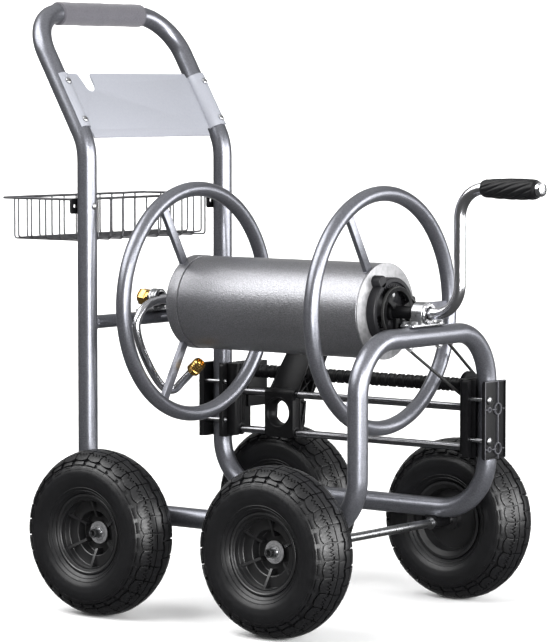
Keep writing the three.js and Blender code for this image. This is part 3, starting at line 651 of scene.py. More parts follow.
# ---- wheels ---------------------------------------------------------------------------------------
# The tyre's outer section, as [radius, distance from the middle plane], from the crown to the bead.
TYRE_SECTION = [(125.2, 0), (124.9, 6), (123.6, 13), (120.8, 21), (116.6, 28.5), (110.6, 35.6), (104, 40.4),
                (96, 43.4), (88, 43.7), (79, 42), (71, 38.2), (64.5, 33), (61, 29.9)]
PITCHES = 30
GROOVE_DEPTH = 2.4  # how far the carcass lies under the section between the tread blocks


def tyre_section():
    """The section as a smooth line: distance run from the crown, radius and offset."""
    raw = np.array(TYRE_SECTION)
    chord = np.concatenate([[0], np.cumsum(np.linalg.norm(np.diff(raw, axis=0), axis=1))])
    fine = np.linspace(0, chord[-1], 240)
    smooth = np.column_stack([np.interp(fine, chord, raw[:, k]) for k in range(2)])
    kernel = np.hanning(19) / np.hanning(19).sum()
    mirrored = np.vstack([smooth[:0:-1] * (1, -1), smooth])
    padded = np.vstack([np.repeat(mirrored[:1], 9, 0), mirrored, np.repeat(mirrored[-1:], 9, 0)])
    blurred = np.column_stack([np.convolve(padded[:, k], kernel, "valid") for k in range(2)])[239:]
    run = np.concatenate([[0], np.cumsum(np.linalg.norm(np.diff(blurred, axis=0), axis=1))])
    return run, blurred


RUN, SECTION = tyre_section()
SLOPE = unit(np.column_stack([np.gradient(SECTION[:, 1], RUN), -np.gradient(SECTION[:, 0], RUN)]))


def on_tyre(turn, run, height):
    """Points on the tyre about Y: turns in pitches, signed distances from the crown, and heights above it."""
    side = np.where(run < 0, -1.0, 1.0)
    away = np.abs(run)
    radius = np.interp(away, RUN, SECTION[:, 0]) + height * np.interp(away, RUN, SLOPE[:, 0])
    offset = np.interp(away, RUN, SECTION[:, 1]) + height * np.interp(away, RUN, SLOPE[:, 1])
    angle = turn * 2 * math.pi / PITCHES
    return np.stack([radius * np.cos(angle), side * offset, radius * np.sin(angle)], -1)


def tread_block(turns, low, high, height, columns=7, rows=4, warp=None):
    """A raised block between two lines that run along the tread; low and high are functions of the turn."""
    u = np.linspace(0, 1, columns)
    w = np.linspace(0, 1, rows)
    grid_u, grid_w = np.meshgrid(u, w, indexing="ij")
    turn = turns[0] + (turns[1] - turns[0]) * grid_u
    run = low(grid_u) * (1 - grid_w) + high(grid_u) * grid_w
    if warp is not None:
        turn = turn + warp(run)
    shrink = np.where((grid_u == 0) | (grid_u == 1) | (grid_w == 0) | (grid_w == 1), 0.35, 0.0)
    top = on_tyre(turn, run, height - shrink).reshape(-1, 3)
    base = on_tyre(turn, run, np.full_like(run, -3.4)).reshape(-1, 3)
    faces = grid_faces(columns, rows, wrap_columns=False)
    border = [i * rows for i in range(columns)] + [(columns - 1) * rows + j for j in range(1, rows)]
    border += [i * rows + rows - 1 for i in range(columns - 2, -1, -1)] + list(range(rows - 2, 0, -1))
    count = columns * rows
    faces += [tuple(i + count for i in face)[::-1] for face in grid_faces(columns, rows, wrap_columns=False)]
    faces += [(a, b, b + count, a + count) for a, b in zip(border, border[1:] + border[:1])]
    return np.vstack([top, base]), faces


def zigzag(u):
    """The line of a sipe: straight at both ends and sawtoothed between."""
    inside = np.clip((u - 0.18) / 0.64, 0, 1)
    return 21.2 + 5.6 * np.abs((inside * 5) % 2 - 1) * ((u > 0.18) & (u < 0.82))


def tread(side, pitch):
    """One pitch of tread on one side of the crown."""
    def line(value):
        return lambda u: side * (value + 0 * u)

    def bow(run):
        return 0.07 * np.sin((np.abs(run) - 13) / 21 * math.pi) * (np.abs(run) > 13)

    offset = pitch + (0.5 if side > 0 else 0)
    gap = 0.042
    span = (offset + gap, offset + 1 - gap)
    centre = tread_block(span, lambda u: side * (1.0 + 2.6 * np.sin(math.pi * u) ** 2), line(12.3), 2.2, 9, 3)
    inner = tread_block(span, line(13.9), lambda u: side * (zigzag(u) - 1.15), 2.2, 41, 3, bow)
    outer = tread_block(span, lambda u: side * (zigzag(u) + 1.15),
                        lambda u: side * (33.5 + 3.6 * np.sin(math.pi * u)), 2.2, 41, 3, bow)
    bar = tread_block((offset + 0.12, offset + 0.84), line(39.2), line(44.2), 1.9, 7, 3)
    dash_turns = (offset + 0.16, offset + 0.8)
    dashes = [tread_block(dash_turns, line(w), line(w + 1.3), 1.2, 7, 2) for w in (46.6, 50.4)]
    ticks = [tread_block((offset + t, offset + t + 0.05), line(54), line(60), 0.5, 2, 4) for t in (0.1, 0.55)]
    return [centre, inner, outer, bar, *dashes, *ticks]


def tyre_shapes():
    sunk = GROOVE_DEPTH * np.clip((47 - RUN) / 6, 0, 1)[:, None] * SLOPE
    half = [(r, y) for r, y in (SECTION - sunk)[::4]]
    inner = [(61, 27), (52.2, 27)]
    profile = [(r, -y) for r, y in half[::-1]] + half[1:] + inner + [(r, -y) for r, y in inner[::-1]]
    shapes = [lathe(profile, Y, (0, 0, 0), 120)]
    for r, out in ((72, 0.35), (67, 0.3)):
        y = np.interp(-r, -SECTION[:, 0], SECTION[:, 1]) + out - 0.5
        angles = np.linspace(0, 2 * math.pi, 120, endpoint=False)
        for sign in (-1, 1):
            path = np.column_stack([r * np.cos(angles), np.full(120, sign * y), r * np.sin(angles)])
            shapes.append(tube(path, 0.8, 8, closed=True))
    for side in (-1, 1):
        for pitch in range(PITCHES):
            shapes += tread(side, pitch)
    return shapes


def rim_shapes():
    """The rim about Y; its deep side faces -Y."""
    lip = [(61.2, -29.2), (61.6, -30.8), (60.6, -32), (58.4, -32), (57, -30.8), (56.4, -28.8)]
    cone = [(55.7, -28.6), (52.4, -22.2), (51.8, -21.6)]
    dish = [(51.2, -12.8), (50.6, -12.2), (35, -12), (34, -11.2), (33.2, 3), (32.4, 3.6), (17.2, 3.6),
            (16.6, 3), (16.2, -1.8), (7.2, -1.8)]
    back = [(7.2, 24), (16, 24), (16, 14), (46, 12), (50, 27), (57, 33), (61, 33), (61, 29.5), (52, 28),
            (52, -26.4)]
    shapes = [lathe([*lip, *cone, *dish, *back], Y, (0, 0, 0), 96)]
    rib = [(24, 6), (24, -7.6), (51.4, -22), (52.6, -22), (52.6, 6)]
    for k in range(6):
        angle = math.radians(60 * k + 205)
        shapes.append(prism(rib, -2.1, 2.1, vec(math.cos(angle), 0, math.sin(angle)), Y))
    return shapes


def wheel_shapes(shapes, x, y, turn):
    """Places shapes drawn about the wheel's centre; those on the far side are turned about Z."""
    sign = -1 if y > 0 else 1
    cos, sin = math.cos(turn), math.sin(turn)
    placed = []
    for verts, faces in shapes:
        u, w = verts[:, 0] * cos - verts[:, 2] * sin, verts[:, 0] * sin + verts[:, 2] * cos
        placed.append((np.column_stack([sign * u + x, sign * verts[:, 1] + y, w + WHEEL_R]), faces))
    return placed


def wheels():
    tyre, rim = tyre_shapes(), rim_shapes()
    turns = {"front_near": 0.0, "rear_near": 0.08, "front_far": 0.05, "rear_far": 0.13}
    for end, x in AXLE_X.items():
        for side, y in (("near", -WHEEL_Y), ("far", WHEEL_Y)):
            name, body = f"{end}_{side}", f"wheel_{end}_{side}"
            at = (x, y, turns[name])
            piece(f"tyre_{name}_treaded", wheel_shapes(tyre, *at), body, RUBBER, [f"tyre_{name}"], crease=40)
            piece(f"rim_{name}_spoked", wheel_shapes(rim, *at), body, RIM_PLASTIC, [f"rim_{name}"], crease=32)


def axles():
    for end, x in AXLE_X.items():
        shapes = [rod(AXLE_R, (x, -WHEEL_Y - 1, WHEEL_R), (x, WHEEL_Y + 1, WHEEL_R), 32)]
        washers = []
        for sign in (-1, 1):
            at = (x, sign * WHEEL_Y, WHEEL_R)
            stub = [(AXLE_R, 0), (AXLE_R, 18), (6.3, 18.8), (5.2, 18.8), (4.9, 18), (4.9, 6), (4.9, 0)]
            shapes.append(lathe(stub, Y * sign, at, 36))
            washer = [(17.1, 2.2), (17.1, 3.4), (16.6, 3.9), (12.4, 3.9), (12, 3.2), (11.2, 3.2), (10.8, 4.3),
                      (6.7, 4.6), (6.7, 2.2)]
            washers.append(lathe(washer, Y * sign, at, 48))
            shapes.append(lathe([(8.2, 4), (8.2, 6.2), (7.6, 6.8), (6.7, 6.8), (6.7, 4)], Y * sign, at, 36))
        piece(f"axle_{end}_turned", shapes, "frame", ZINC, [f"axle_{end}"])
        piece(f"axle_{end}_washers", washers, "frame", DISC)
        # a thin black disc deep in each hollow stub end: painted shade that keeps the bore dark
        bores = [solid_lathe([(5, 14), (5, 14.4)], Y * s, (x, s * WHEEL_Y, WHEEL_R), 24) for s in (-1, 1)]
        piece(f"axle_{end}_bore_shade_discs", bores, "frame", PLASTIC)
        for side, sign in (("near", -1), ("far", 1)):
            at = (x, sign * SIDE_Y, WHEEL_R)
            sleeve = [(6.9, -8), (10, -8), (10.4, -6), (10.4, 6), (9.4, 8), (9.4, 32), (8.6, 34), (6.9, 34)]
            saddle = rounded(-9.5, 9.5, 4, RAIL_Z - WHEEL_R - TUBE_R + 8, 2)
            shapes = [lathe(sleeve, Y * sign, at, 40), prism(saddle, -9, 9, X, Z, at)]
            name = f"axle_mount_{end}_{side}"
            piece(f"{name}_moulded", shapes, "frame", PLASTIC, [name], soften=0.5)
            ring = lathe([(7, -9.6), (9.6, -9.6), (9.8, -8), (7, -8)], Y * sign, at, 36)
            piece(f"{name}_end_ring", [ring], "frame", ZINC)


# ---- reel -----------------------------------------------------------------------------------------
AXIS = (0, 0, REEL_Z)


def spoke_directions():
    for angle in SPOKE_ANGLES:
        a = math.radians(angle)
        yield vec(0, -math.sin(a), math.cos(a)), vec(0, math.cos(a), math.sin(a))


def reel_cage():
    (x0, x1), fillet = DRUM_X, 3.5
    end = [(r, x) for x, r in arc((x0 + fillet, DRUM_R + 0.7 - fillet), fillet, 180, 90, 15)]
    seam = [(DRUM_R + 0.7, -152.2), (DRUM_R + 0.4, -151.2), (DRUM_R - 1.6, -150.8),
            (DRUM_R - 1.6, -149.4), (DRUM_R - 0.2, -149)]
    shell = [(0.1, x0), (DRUM_R - fillet, x0), *end, *seam, (DRUM_R - 0.2, x1 - 1), (DRUM_R - 1.2, x1),
             (DRUM_R - 3, x1), (DRUM_R - 3, x0 + 3), (0.1, x0 + 3)]
    hub = [(HUB_R, HUB_X + 1), (HUB_R, x0 + 1), (HUB_R + 4, x0), (0.1, x0), (0.1, HUB_X), (HUB_R - 1, HUB_X)]
    piece("drum_shell", [lathe(shell, X, AXIS, 128)], "reel", DRUM_PAINT, ["drum"], crease=30)
    hub_weld = weld_bead(HUB_R + 1.5, X, (x0 - 0.5, 0, REEL_Z))
    piece("drum_hub", [lathe(hub, X, AXIS, 48), hub_weld], "reel", ZINC)
    disc = [(0.1, x1 + 0.3), (DRUM_R - 0.4, x1 + 0.3), (DRUM_R + 0.3, x1 + 0.8), (DRUM_R + 0.3, x1 + 2.2),
            (DRUM_R - 0.6, x1 + 2.6), (0.1, x1 + 2.6)]
    piece("drum_end_disc_turned", [lathe(disc, X, AXIS, 128)], "reel", DISC, ["drum_end_disc"])
    angles = np.linspace(0, 2 * math.pi, 180, endpoint=False)
    for name, ring_x, spoke_x in (("inlet", RING_X[0], SPOKE_X[0]), ("crank", RING_X[1], SPOKE_X[1])):
        centre = vec(ring_x, 0, REEL_Z)
        path = centre + RING_R * np.column_stack([np.zeros(180), np.sin(angles), np.cos(angles)])
        seam_at = math.radians(212 if name == "crank" else 95)
        at = centre + RING_R * vec(0, math.sin(seam_at), math.cos(seam_at))
        bead = weld_bead(RING_TUBE_R - 0.4, vec(0, math.cos(seam_at), -math.sin(seam_at)), at, 0.9)
        ring = tube(path, RING_TUBE_R, 32, closed=True)
        piece(f"guard_ring_{name}_smooth", [ring, bead], "reel", PAINT, [f"guard_ring_{name}"])
        for k, (out, across) in enumerate(spoke_directions()):
            along_x, wide = SPOKE_SIZE
            outline = rounded(-along_x / 2, along_x / 2, -wide / 2, wide / 2, 1.2)
            start, stop = DRUM_R - 2, RING_R - RING_TUBE_R + 3
            axis_at = vec(spoke_x, 0, REEL_Z)
            bar = prism(outline, start, stop, X, across * np.sign(np.cross(X, across) @ out), axis_at)
            toe = axis_at + out * (DRUM_R - 0.3)
            edges = [toe + across * s * wide / 2 for s in (-1, 1)]
            welds = [tube([edge - X * 3, edge + X * 3], 1.3, 10) for edge in edges]
            spoke = f"spoke_{name}_{k + 1}"
            piece(f"{spoke}_bar", [bar, *welds], "reel", PAINT, [spoke], soften=0.3)


def pulley_groove(radius, lip):
    """The profile of a pulley from flange to flange, with lips that stand above the belt's seat."""
    low, high = BELT_X - PULLEY_HALF, BELT_X + PULLEY_HALF
    flange, seat = radius + lip, radius - 0.3
    return [(flange, low - 0.8), (flange, low), (seat, low + 0.6), (seat, high - 0.6), (flange, high),
            (flange, high + 0.8)]


def gear_housing():
    """The moulded housing on the end disc: a rim, a toothed ring inside it, lugs and the belt pulley."""
    x0, x1 = HOUSING_X
    body = [(8.4, x0), (HOUSING_R - 0.6, x0), (HOUSING_R, x0 + 0.8), (HOUSING_R, x1 - 1.2),
            (HOUSING_R - 1.2, x1), (45, x1), (44.4, x1 - 0.8), (44, x1 - 4), (41, x1 - 4.6), (41, x0 + 3),
            (8.4, x0 + 3)]
    shapes = [lathe(body, X, AXIS, 96)]
    teeth = 44
    tooth = [(41.5, -1.9), (37.6, -1.0), (37.6, 1.0), (41.5, 1.9)]
    for k in range(teeth):
        shapes.append(prism(tooth, x0 + 3, x1 - 4.6, *radial(2 * math.pi * k / teeth), AXIS))
    for angle, size in ((122, 9.5), (17, 5.5), (255, 6.5)):
        at = radial(math.radians(angle))[0] * (HOUSING_R + size * 0.3) + np.array(AXIS)
        shapes.append(solid_lathe([(size, x0), (size, x1 - 1), (size - 1, x1)], X, at, 28))
    piece("drive_hub_housing", shapes, "reel", GREY_PLASTIC, ["drive_hub"], crease=30)
    collar = [(9.2, x0 + 3), (13.5, x0 + 3), (13.5, x1), (9.6, x1 + 1), (9.6, 252), (9.2, 252)]
    hub = [lathe(collar, X, AXIS, 40)]
    screw_places = [radial(math.radians(120 * k + 95))[0] * HUB_SCREW_R + np.array(AXIS) for k in range(3)]
    for at in screw_places:
        hub.append(lathe([(2.4, x0 + 3), (9.6, x0 + 3), (9.6, x1 - 3), (2.4, x1 - 3)], X, at, 14))
    piece("drive_hub_core", hub, "reel", PLASTIC)
    low, high = BELT_X - PULLEY_HALF, BELT_X + PULLEY_HALF
    wheel = [(DRIVE_R - 4, low), *pulley_groove(DRIVE_R, 1.5), (DRIVE_R - 4, high)]
    pulley = [lathe(wheel, X, AXIS, 72)]
    web = rounded(10, DRIVE_R - 3, -3.5, 3.5, 1)
    for k in range(3):
        pulley.append(prism(web, BELT_X - 2.5, BELT_X + 2.5, *radial(math.radians(120 * k + 20)), AXIS))
    piece("drive_pulley", pulley, "reel", PLASTIC)
    screws = []
    for at in screw_places:
        screws += bolt_head(X, at + X * (x1 - 3), 7, 3.4, 4.4)
    piece("drive_hub_screws", screws, "reel", ZINC)


def crank():
    top = REEL_Z + CRANK_THROW
    corners = [(250, 0, REEL_Z), (CRANK_X, 0, REEL_Z), (CRANK_X, 0, top), (CRANK_END_X - 6, 0, top)]
    arm = tube(bent_path(corners, [CRANK_BEND_R, CRANK_BEND_R], step=3), CRANK_R, 40)
    x1 = CRANK_END_X
    cap = [(0.1, x1 - 10), (9.6, x1 - 10), (10.6, x1 - 8.6), (10.6, x1 - 3.2), (9.4, x1 - 1), (6, x1),
           (0.1, x1)]
    shapes = [arm, lathe(cap, X, (0, 0, top), 48)]
    piece("crank_arm_smooth", shapes, "reel", CHROME, ["crank_arm"])
    x0, x1 = GRIP_X
    count, sides = 110, 120
    fraction = np.linspace(0, 1, count)
    outline = np.interp(fraction, [0, 0.04, 0.3, 0.6, 0.9, 0.97, 1], [12.2, 13.6, 15.2, 16, 15.4, 14.4, 12.6])
    angles = np.linspace(0, 2 * math.pi, sides, endpoint=False)
    flute = np.clip(np.minimum(fraction, 1 - fraction) / 0.08, 0, 1)
    wave = np.abs(np.sin(5 * (angles[None, :] + 1.7 * fraction[:, None] * math.pi / 2)))
    radius = outline[:, None] - flute[:, None] * 1.6 * (1 - wave) ** 1.6
    verts = np.stack([np.broadcast_to((x0 + (x1 - x0) * fraction)[:, None], radius.shape),
                      radius * np.cos(angles), radius * np.sin(angles) + top], -1).reshape(-1, 3)
    faces = grid_faces(count, sides)
    faces += [tuple(range(sides))[::-1], tuple(range((count - 1) * sides, count * sides))]
    piece("crank_grip_fluted", [(verts, faces)], "crank_grip", PLASTIC, ["crank_grip"], crease=50)


OUTLET_ROUTE = [(-203, -11, 0), (-203, -50, 3), (-204, -86, -6), (-205, -104, -28), (-204, -100, -58),
                (-202, -64, -116), (-198, -42, -137), (-188, -34, -138), (-174, -31, -125), (-154, -30, -107)]


def smooth_route(points, count=90):
    """A centripetal Catmull-Rom curve through points."""
    points = np.array(points, float)
    ends = np.vstack([2 * points[0] - points[1], points, 2 * points[-1] - points[-2]])
    result = []
    for p0, p1, p2, p3 in zip(ends, ends[1:], ends[2:], ends[3:]):
        t0 = 0.0
        t1 = t0 + np.linalg.norm(p1 - p0) ** 0.5
        t2 = t1 + np.linalg.norm(p2 - p1) ** 0.5
        t3 = t2 + np.linalg.norm(p3 - p2) ** 0.5
        for t in np.linspace(t1, t2, count // (len(points) - 1), endpoint=False):
            a1 = (t1 - t) / (t1 - t0) * p0 + (t - t0) / (t1 - t0) * p1
            a2 = (t2 - t) / (t2 - t1) * p1 + (t - t1) / (t2 - t1) * p2
            a3 = (t3 - t) / (t3 - t2) * p2 + (t - t2) / (t3 - t2) * p3
            b1 = (t2 - t) / (t2 - t0) * a1 + (t - t0) / (t2 - t0) * a2
            b2 = (t3 - t) / (t3 - t1) * a2 + (t - t1) / (t3 - t1) * a3
            result.append((t2 - t) / (t2 - t1) * b1 + (t - t1) / (t2 - t1) * b2)
    return np.array([*result, points[-1]])


def thread(radius, depth, start, end, pitch):
    """A turned stretch with rounded ridges, as a profile."""
    turns = round((end - start) / pitch)
    profile = []
    for k in range(turns):
        at = start + k * pitch
        profile += [(radius - depth, at), (radius, at + 0.4 * pitch), (radius, at + 0.6 * pitch)]
    return [*profile, (radius - depth, end)]


def outlet():
    route = smooth_route(OUTLET_ROUTE) + np.array(AXIS)
    piece("outlet_pipe_smooth", [tube(route, 6.5, 32)], "reel", CHROME, ["outlet_pipe"])
    direction = unit(route[-1] - route[-2])
    at = route[-1]
    collar = [(6.7, -1.5), (9.4, -1.2), (10.9, 0.8), (10.9, 6.4), (9.6, 7.6)]
    profile = [*collar, *thread(10.6, 0.7, 8.2, 20.2, 4.0), (9.0, 21.8), (6.4, 22), (6.2, 10), (6.2, -1.5)]
    bore = lathe([(3, 14), (6.3, 14), (6.3, 17), (4.4, 17), (3, 15.5)], direction, at, 32)
    piece("outlet_fitting_threaded", [lathe(profile, direction, at, 48)], "reel", BRASS, ["outlet_fitting"])
    piece("outlet_fitting_seal", [bore], "reel", BRASS)


# ---- bearings and inlet ---------------------------------------------------------------------------
def front_bearing():
    x0, x1 = POST_X - 13, POST_X + 7
    foot_z = LOOP_Z + TUBE_R + 0.3
    sleeve = [(12.6, x0), (16.4, x0), (17, x0 + 0.8), (17, x1 - 0.8), (16.4, x1), (12.6, x1)]
    flange = [(10.4, x1), (15.2, x1), (15.8, x1 + 0.8), (15.8, x1 + 3), (15, x1 + 3.8), (10.8, x1 + 3.8)]
    rise = REEL_Z - foot_z
    bore = circle((0, rise - 0.01), 12.6)
    saddle = [*arc((0, rise), 17, 0, 180), (-17, 0), (17, 0)]
    strap = prism(saddle, x0 + 1, x1 - 1, Y, Z, (0, 0, foot_z), [bore])
    foot = prism(rounded(-12.5, 12.5, -42, 42, 4), foot_z, foot_z + 3, X, Y, (POST_X - 3, 0, 0))
    shapes = [lathe(sleeve, X, AXIS, 56), strap, foot]
    piece("front_bearing_block", shapes, "frame", ZINC, ["front_bearing"], soften=0.5)
    piece("front_bearing_bush", [lathe(flange, X, AXIS, 56)], "frame", CHROME)
    gap = lathe([(9.4, x0 - 2), (12.8, x0 - 2), (12.8, x1 + 2), (9.4, x1 + 2)], X, AXIS, 48)
    piece("front_bearing_seal", [gap], "frame", PLASTIC)
    bolts = []
    for y in (-33, 33):
        for x in (POST_X - 9, POST_X + 3):
            at = vec(x, y + (3 if x > POST_X else -3), foot_z + 3)
            bolts += bolt_head(Z, at, 9, 5.4, 6.6)
        below = LOOP_Z - TUBE_R
        bolts.append(rod(2.8, (POST_X, y * 1.15, below + 2), (POST_X, y * 1.15, below - 5)))
        bolts += [hexagon(9, 0, 4, -Z, (POST_X, y * 1.15, below + 0.6))]
        bolts.append(lathe([(2.8, 0), (6.2, 0), (6.2, 1), (2.8, 1)], -Z, (POST_X, y * 1.15, below + 1), 28))
    piece("front_bearing_bolts", bolts, "frame", ZINC)


INLET_RISE = math.radians(9)
INLET_ELBOW = vec(-259, 0, REEL_Z)
INLET_DIRECTION = vec(-math.cos(INLET_RISE), 0, math.sin(INLET_RISE))


def inlet():
    foot_z = CROSSBAR_Z + CROSSBAR_R
    x0, x1 = LEG_X - 7, LEG_X + 8
    crown = REEL_Z + 2
    body = [(9.6, x0), (14.6, x0), (15.2, x0 + 0.8), (15.2, x0 + 4), (14, x0 + 5), (14, x1 - 4),
            (15.2, x1 - 3), (15.2, x1), (12, x1 + 1.5), (9.6, x1 + 1.5)]
    strap = [*arc((0, crown - foot_z), 14, 0, 180), (-14, 0), (14, 0)]
    shapes = [lathe(body, X, (0, 0, crown), 56),
              prism(strap, x0 + 3, x1 - 3, Y, Z, (0, 0, foot_z), [circle((0, crown - foot_z), 9.7)]),
              prism(rounded(-11.5, 11.5, -41, 41, 4), foot_z, foot_z + 3, X, Y, (LEG_X, 0, 0))]
    for y in (-30, 30):
        shapes += bolt_head(Z, (LEG_X, y, foot_z + 3), 9, 5, 6.4)
    piece("rear_bearing_block", shapes, "frame", ZINC, ["rear_bearing"], soften=0.4)
    swivel = [(0.1, HUB_X - 1), (11, HUB_X - 1), (11.6, HUB_X - 2), (11.6, HUB_X - 8), (9.6, HUB_X - 9),
              (9.6, INLET_ELBOW[0]), (0.1, INLET_ELBOW[0])]
    neck = [(0.1, -8), (9.5, -8), (9.8, 2.5), (6, 3), (6, 13), (4, 13), (4, 6), (0.1, 6)]
    shapes = [lathe(swivel[::-1], X, AXIS, 48), lathe(neck, INLET_DIRECTION, INLET_ELBOW, 40)]
    piece("inlet_swivel_body", shapes, "frame", STEEL, ["inlet_swivel"])
    collar = [(6.6, 3.5), (12.2, 3.5), (12.6, 4.4), (12.6, 8), (11.6, 8.6), (6.6, 8.6)]
    corner, bore = 14.4, 10.4
    faceted = [(bore, 8.6), (corner - 1.2, 8.6), (corner, 9.8), (corner, 23), (corner - 1.2, 24.4),
               (bore, 24.4)]
    rim = [(bore - 0.4, 24), (12, 24), (12, 24.8), (bore - 0.4, 24.8)]
    turned = ((collar, 48), (faceted, 6), (rim, 48))
    shapes = [lathe(profile, INLET_DIRECTION, INLET_ELBOW, sides) for profile, sides in turned]
    piece("inlet_nut_faceted", shapes, "inlet_nut", BRASS, ["inlet_nut"], soften=0.4)


# ---- hose guide -----------------------------------------------------------------------------------
def guide_rods():
    x0, x1 = LEG_X + TUBE_R + 4, POST_X - TUBE_R - 4
    for level, z in zip(("lower", "upper"), ROD_Z):
        bar = rod(ROD_R, (x0, GUIDE_Y, z), (x1, GUIDE_Y, z), 32)
        piece(f"guide_rod_{level}_drawn", [bar], "frame", STEEL, [f"guide_rod_{level}"])


def lead_screw():
    """A bar with two helical grooves of opposite hand, its journals and its pulley."""
    x0, x1 = SCREW_X
    count, sides = 420, 48
    along = np.linspace(x0, x1, count)
    angles = np.linspace(0, 2 * math.pi, sides, endpoint=False)
    lead, width = 17.0, 0.13
    depth = np.zeros((count, sides))
    for hand in (-1, 1):
        phase = (along[:, None] / lead + hand * angles[None, :] / (2 * math.pi)) % 1
        depth = np.maximum(depth, np.clip(1.4 - np.abs(phase - 0.5) / width, 0, 1))
    fade = np.clip(np.minimum(along - x0 - 6, x1 - 6 - along) / 4, 0, 1)[:, None]
    radius = SCREW_R - 1.7 * depth * fade
    verts = np.stack([np.broadcast_to(along[:, None], radius.shape), radius * np.cos(angles) + SCREW_Y,
                      radius * np.sin(angles) + SCREW_Z], -1).reshape(-1, 3)
    faces = grid_faces(count, sides)
    faces += [tuple(range(sides))[::-1], tuple(range((count - 1) * sides, count * sides))]
    at = vec(0, SCREW_Y, SCREW_Z)
    journals = ((LEG_X + TUBE_R + 5, x0 + 1), (x1 - 1, POST_X - TUBE_R - 5))
    ends = [rod(5, at + X * start, at + X * end) for start, end in journals]
    outer = BELT_X + PULLEY_HALF + 0.4
    wheel = [(0.1, x1), *pulley_groove(DRIVEN_R, 1.6), (DRIVEN_R - 5, outer), (0.1, outer)]
    shapes = [(verts, faces), *ends, lathe(wheel, X, at, 56)]
    piece("lead_screw_grooved", shapes, "lead_screw", PLASTIC, ["lead_screw"])


def drive_belt():
    big, small = vec(0, REEL_Z), vec(SCREW_Y, SCREW_Z)
    run = small - big
    direction = math.atan2(run[1], run[0])
    spread = math.acos((DRIVE_R - DRIVEN_R) / np.linalg.norm(run))
    line = []
    for centre, radius, start, end in ((big, DRIVE_R, direction + spread, direction - spread + 2 * math.pi),
                                       (small, DRIVEN_R, direction - spread, direction + spread)):
        for a in np.linspace(start, end, 40):
            line.append((centre, radius, a))
    section = [(0, -2.5), (0, 2.5), (2.6, 2.5), (3.0, 2.0), (3.0, -2.0), (2.6, -2.5)]
    verts = [(BELT_X + w, c[0] + (r + h) * math.cos(a), c[1] + (r + h) * math.sin(a))
             for c, r, a in line for h, w in section]
    faces = grid_faces(len(line), len(section), wrap_rows=True)
    piece("drive_belt_band", [(np.array(verts), faces)], "frame", BELT, ["drive_belt"])


def carriage():
    x = CARRIAGE_X + 2.3
    left, right = -27, 30
    outline = rounded(left, right, 241, 313, 8)
    funnel_r = 23.5
    plate = prism(outline, -172, -157, X, Z, (x, 0, 0), [circle((0, EYELET_Z), funnel_r, 8)])
    back = prism(outline, -177, -172, X, Z, (x, 0, 0), [circle((0, EYELET_Z), EYELET_R, 8)])
    funnel = [(EYELET_R, 177), (EYELET_R, 168), (EYELET_R + 1.6, 160), (funnel_r - 1.2, 156.8),
              (funnel_r + 0.6, 156), (funnel_r + 2.4, 157), (funnel_r + 1, 168), (EYELET_R + 4, 177)]
    shapes = [plate, back, lathe(funnel, Y, (x, 0, EYELET_Z), 72)]
    # the hood: a sheet in front of the lead screw, a sheet behind it, and ribs between them
    base, top = vec(0, 158, 306), vec(0, 197, 384)
    rise = unit(top - base)
    length = np.linalg.norm(top - base)
    front_sheet = [(-26, -3), (32, -3), (43, length), (-8, length)]
    rear_sheet = [(-19, 4), (36, 4), (43, length), (-9, length)]
    shapes.append(prism(front_sheet, -4, 0, X, rise, base + vec(x, 0, 0)))
    shapes.append(prism(rear_sheet, -3, 0, X, rise, base + vec(x, 38, -6)))
    cap_z = 384
    shapes.append(prism([(-9, 196), (43, 196), (43, 222), (-9, 222)], cap_z - 4, cap_z, X, Y, (x, 0, 0)))
    shapes.append(block(x + right - 12, x + right - 1.5, 171, 190, 246, 308))
    shapes += hood_side(x - 17.5, x - 8, x + left) + hood_side(x + 34.5, x + 41, x + right)
    bore, wall = ROD_R + 0.5, ROD_R + 3.2
    sleeve = [(bore, left - 1), (wall, left - 1), (wall, right + 1), (bore, right + 1)]
    sleeves = [lathe(sleeve, X, (x, GUIDE_Y, z), 32) for z in ROD_Z]
    piece("carriage_body", [*shapes, *sleeves], "carriage", PLASTIC, ["carriage"], soften=0.5)


def hood_side(bottom_x, top_x, block_x):
    """Crossed ribs on one slanting side of the carriage's hood and on the block below it."""
    def at(fraction, y, z):
        return vec(bottom_x + (top_x - bottom_x) * fraction, y, z)
    rails = [[at(0, 160, 308), at(1, 198, 382)], [at(0, 196, 302), at(1, 221, 382)],
             [at(0.35, 172, 334), at(0.55, 210, 344)], [at(0.75, 188, 364), at(0.9, 216, 370)]]
    cross = [[at(0, 162, 308), at(0.5, 208, 344)], [at(0, 196, 304), at(0.45, 176, 338)],
             [at(0.5, 178, 342), at(0.9, 216, 374)], [at(0.5, 208, 342), at(0.9, 192, 374)]]
    low_x = block_x - 0.6 * np.sign(block_x - bottom_x + 1)
    block_ribs = [[vec(low_x, 175, 246), vec(low_x, 175, 314)], [vec(low_x, 176, 250), vec(low_x, 190, 296)],
                  [vec(low_x, 190, 296), vec(low_x, 176, 300)], [vec(low_x, 186, 262), vec(low_x, 190, 300)],
                  [vec(low_x, 176, 248), vec(low_x, 186, 262)], [vec(low_x, 176, 280), vec(low_x, 188, 266)]]
    return [tube([a, b], 1.7, 8) for a, b in rails + cross + block_ribs]


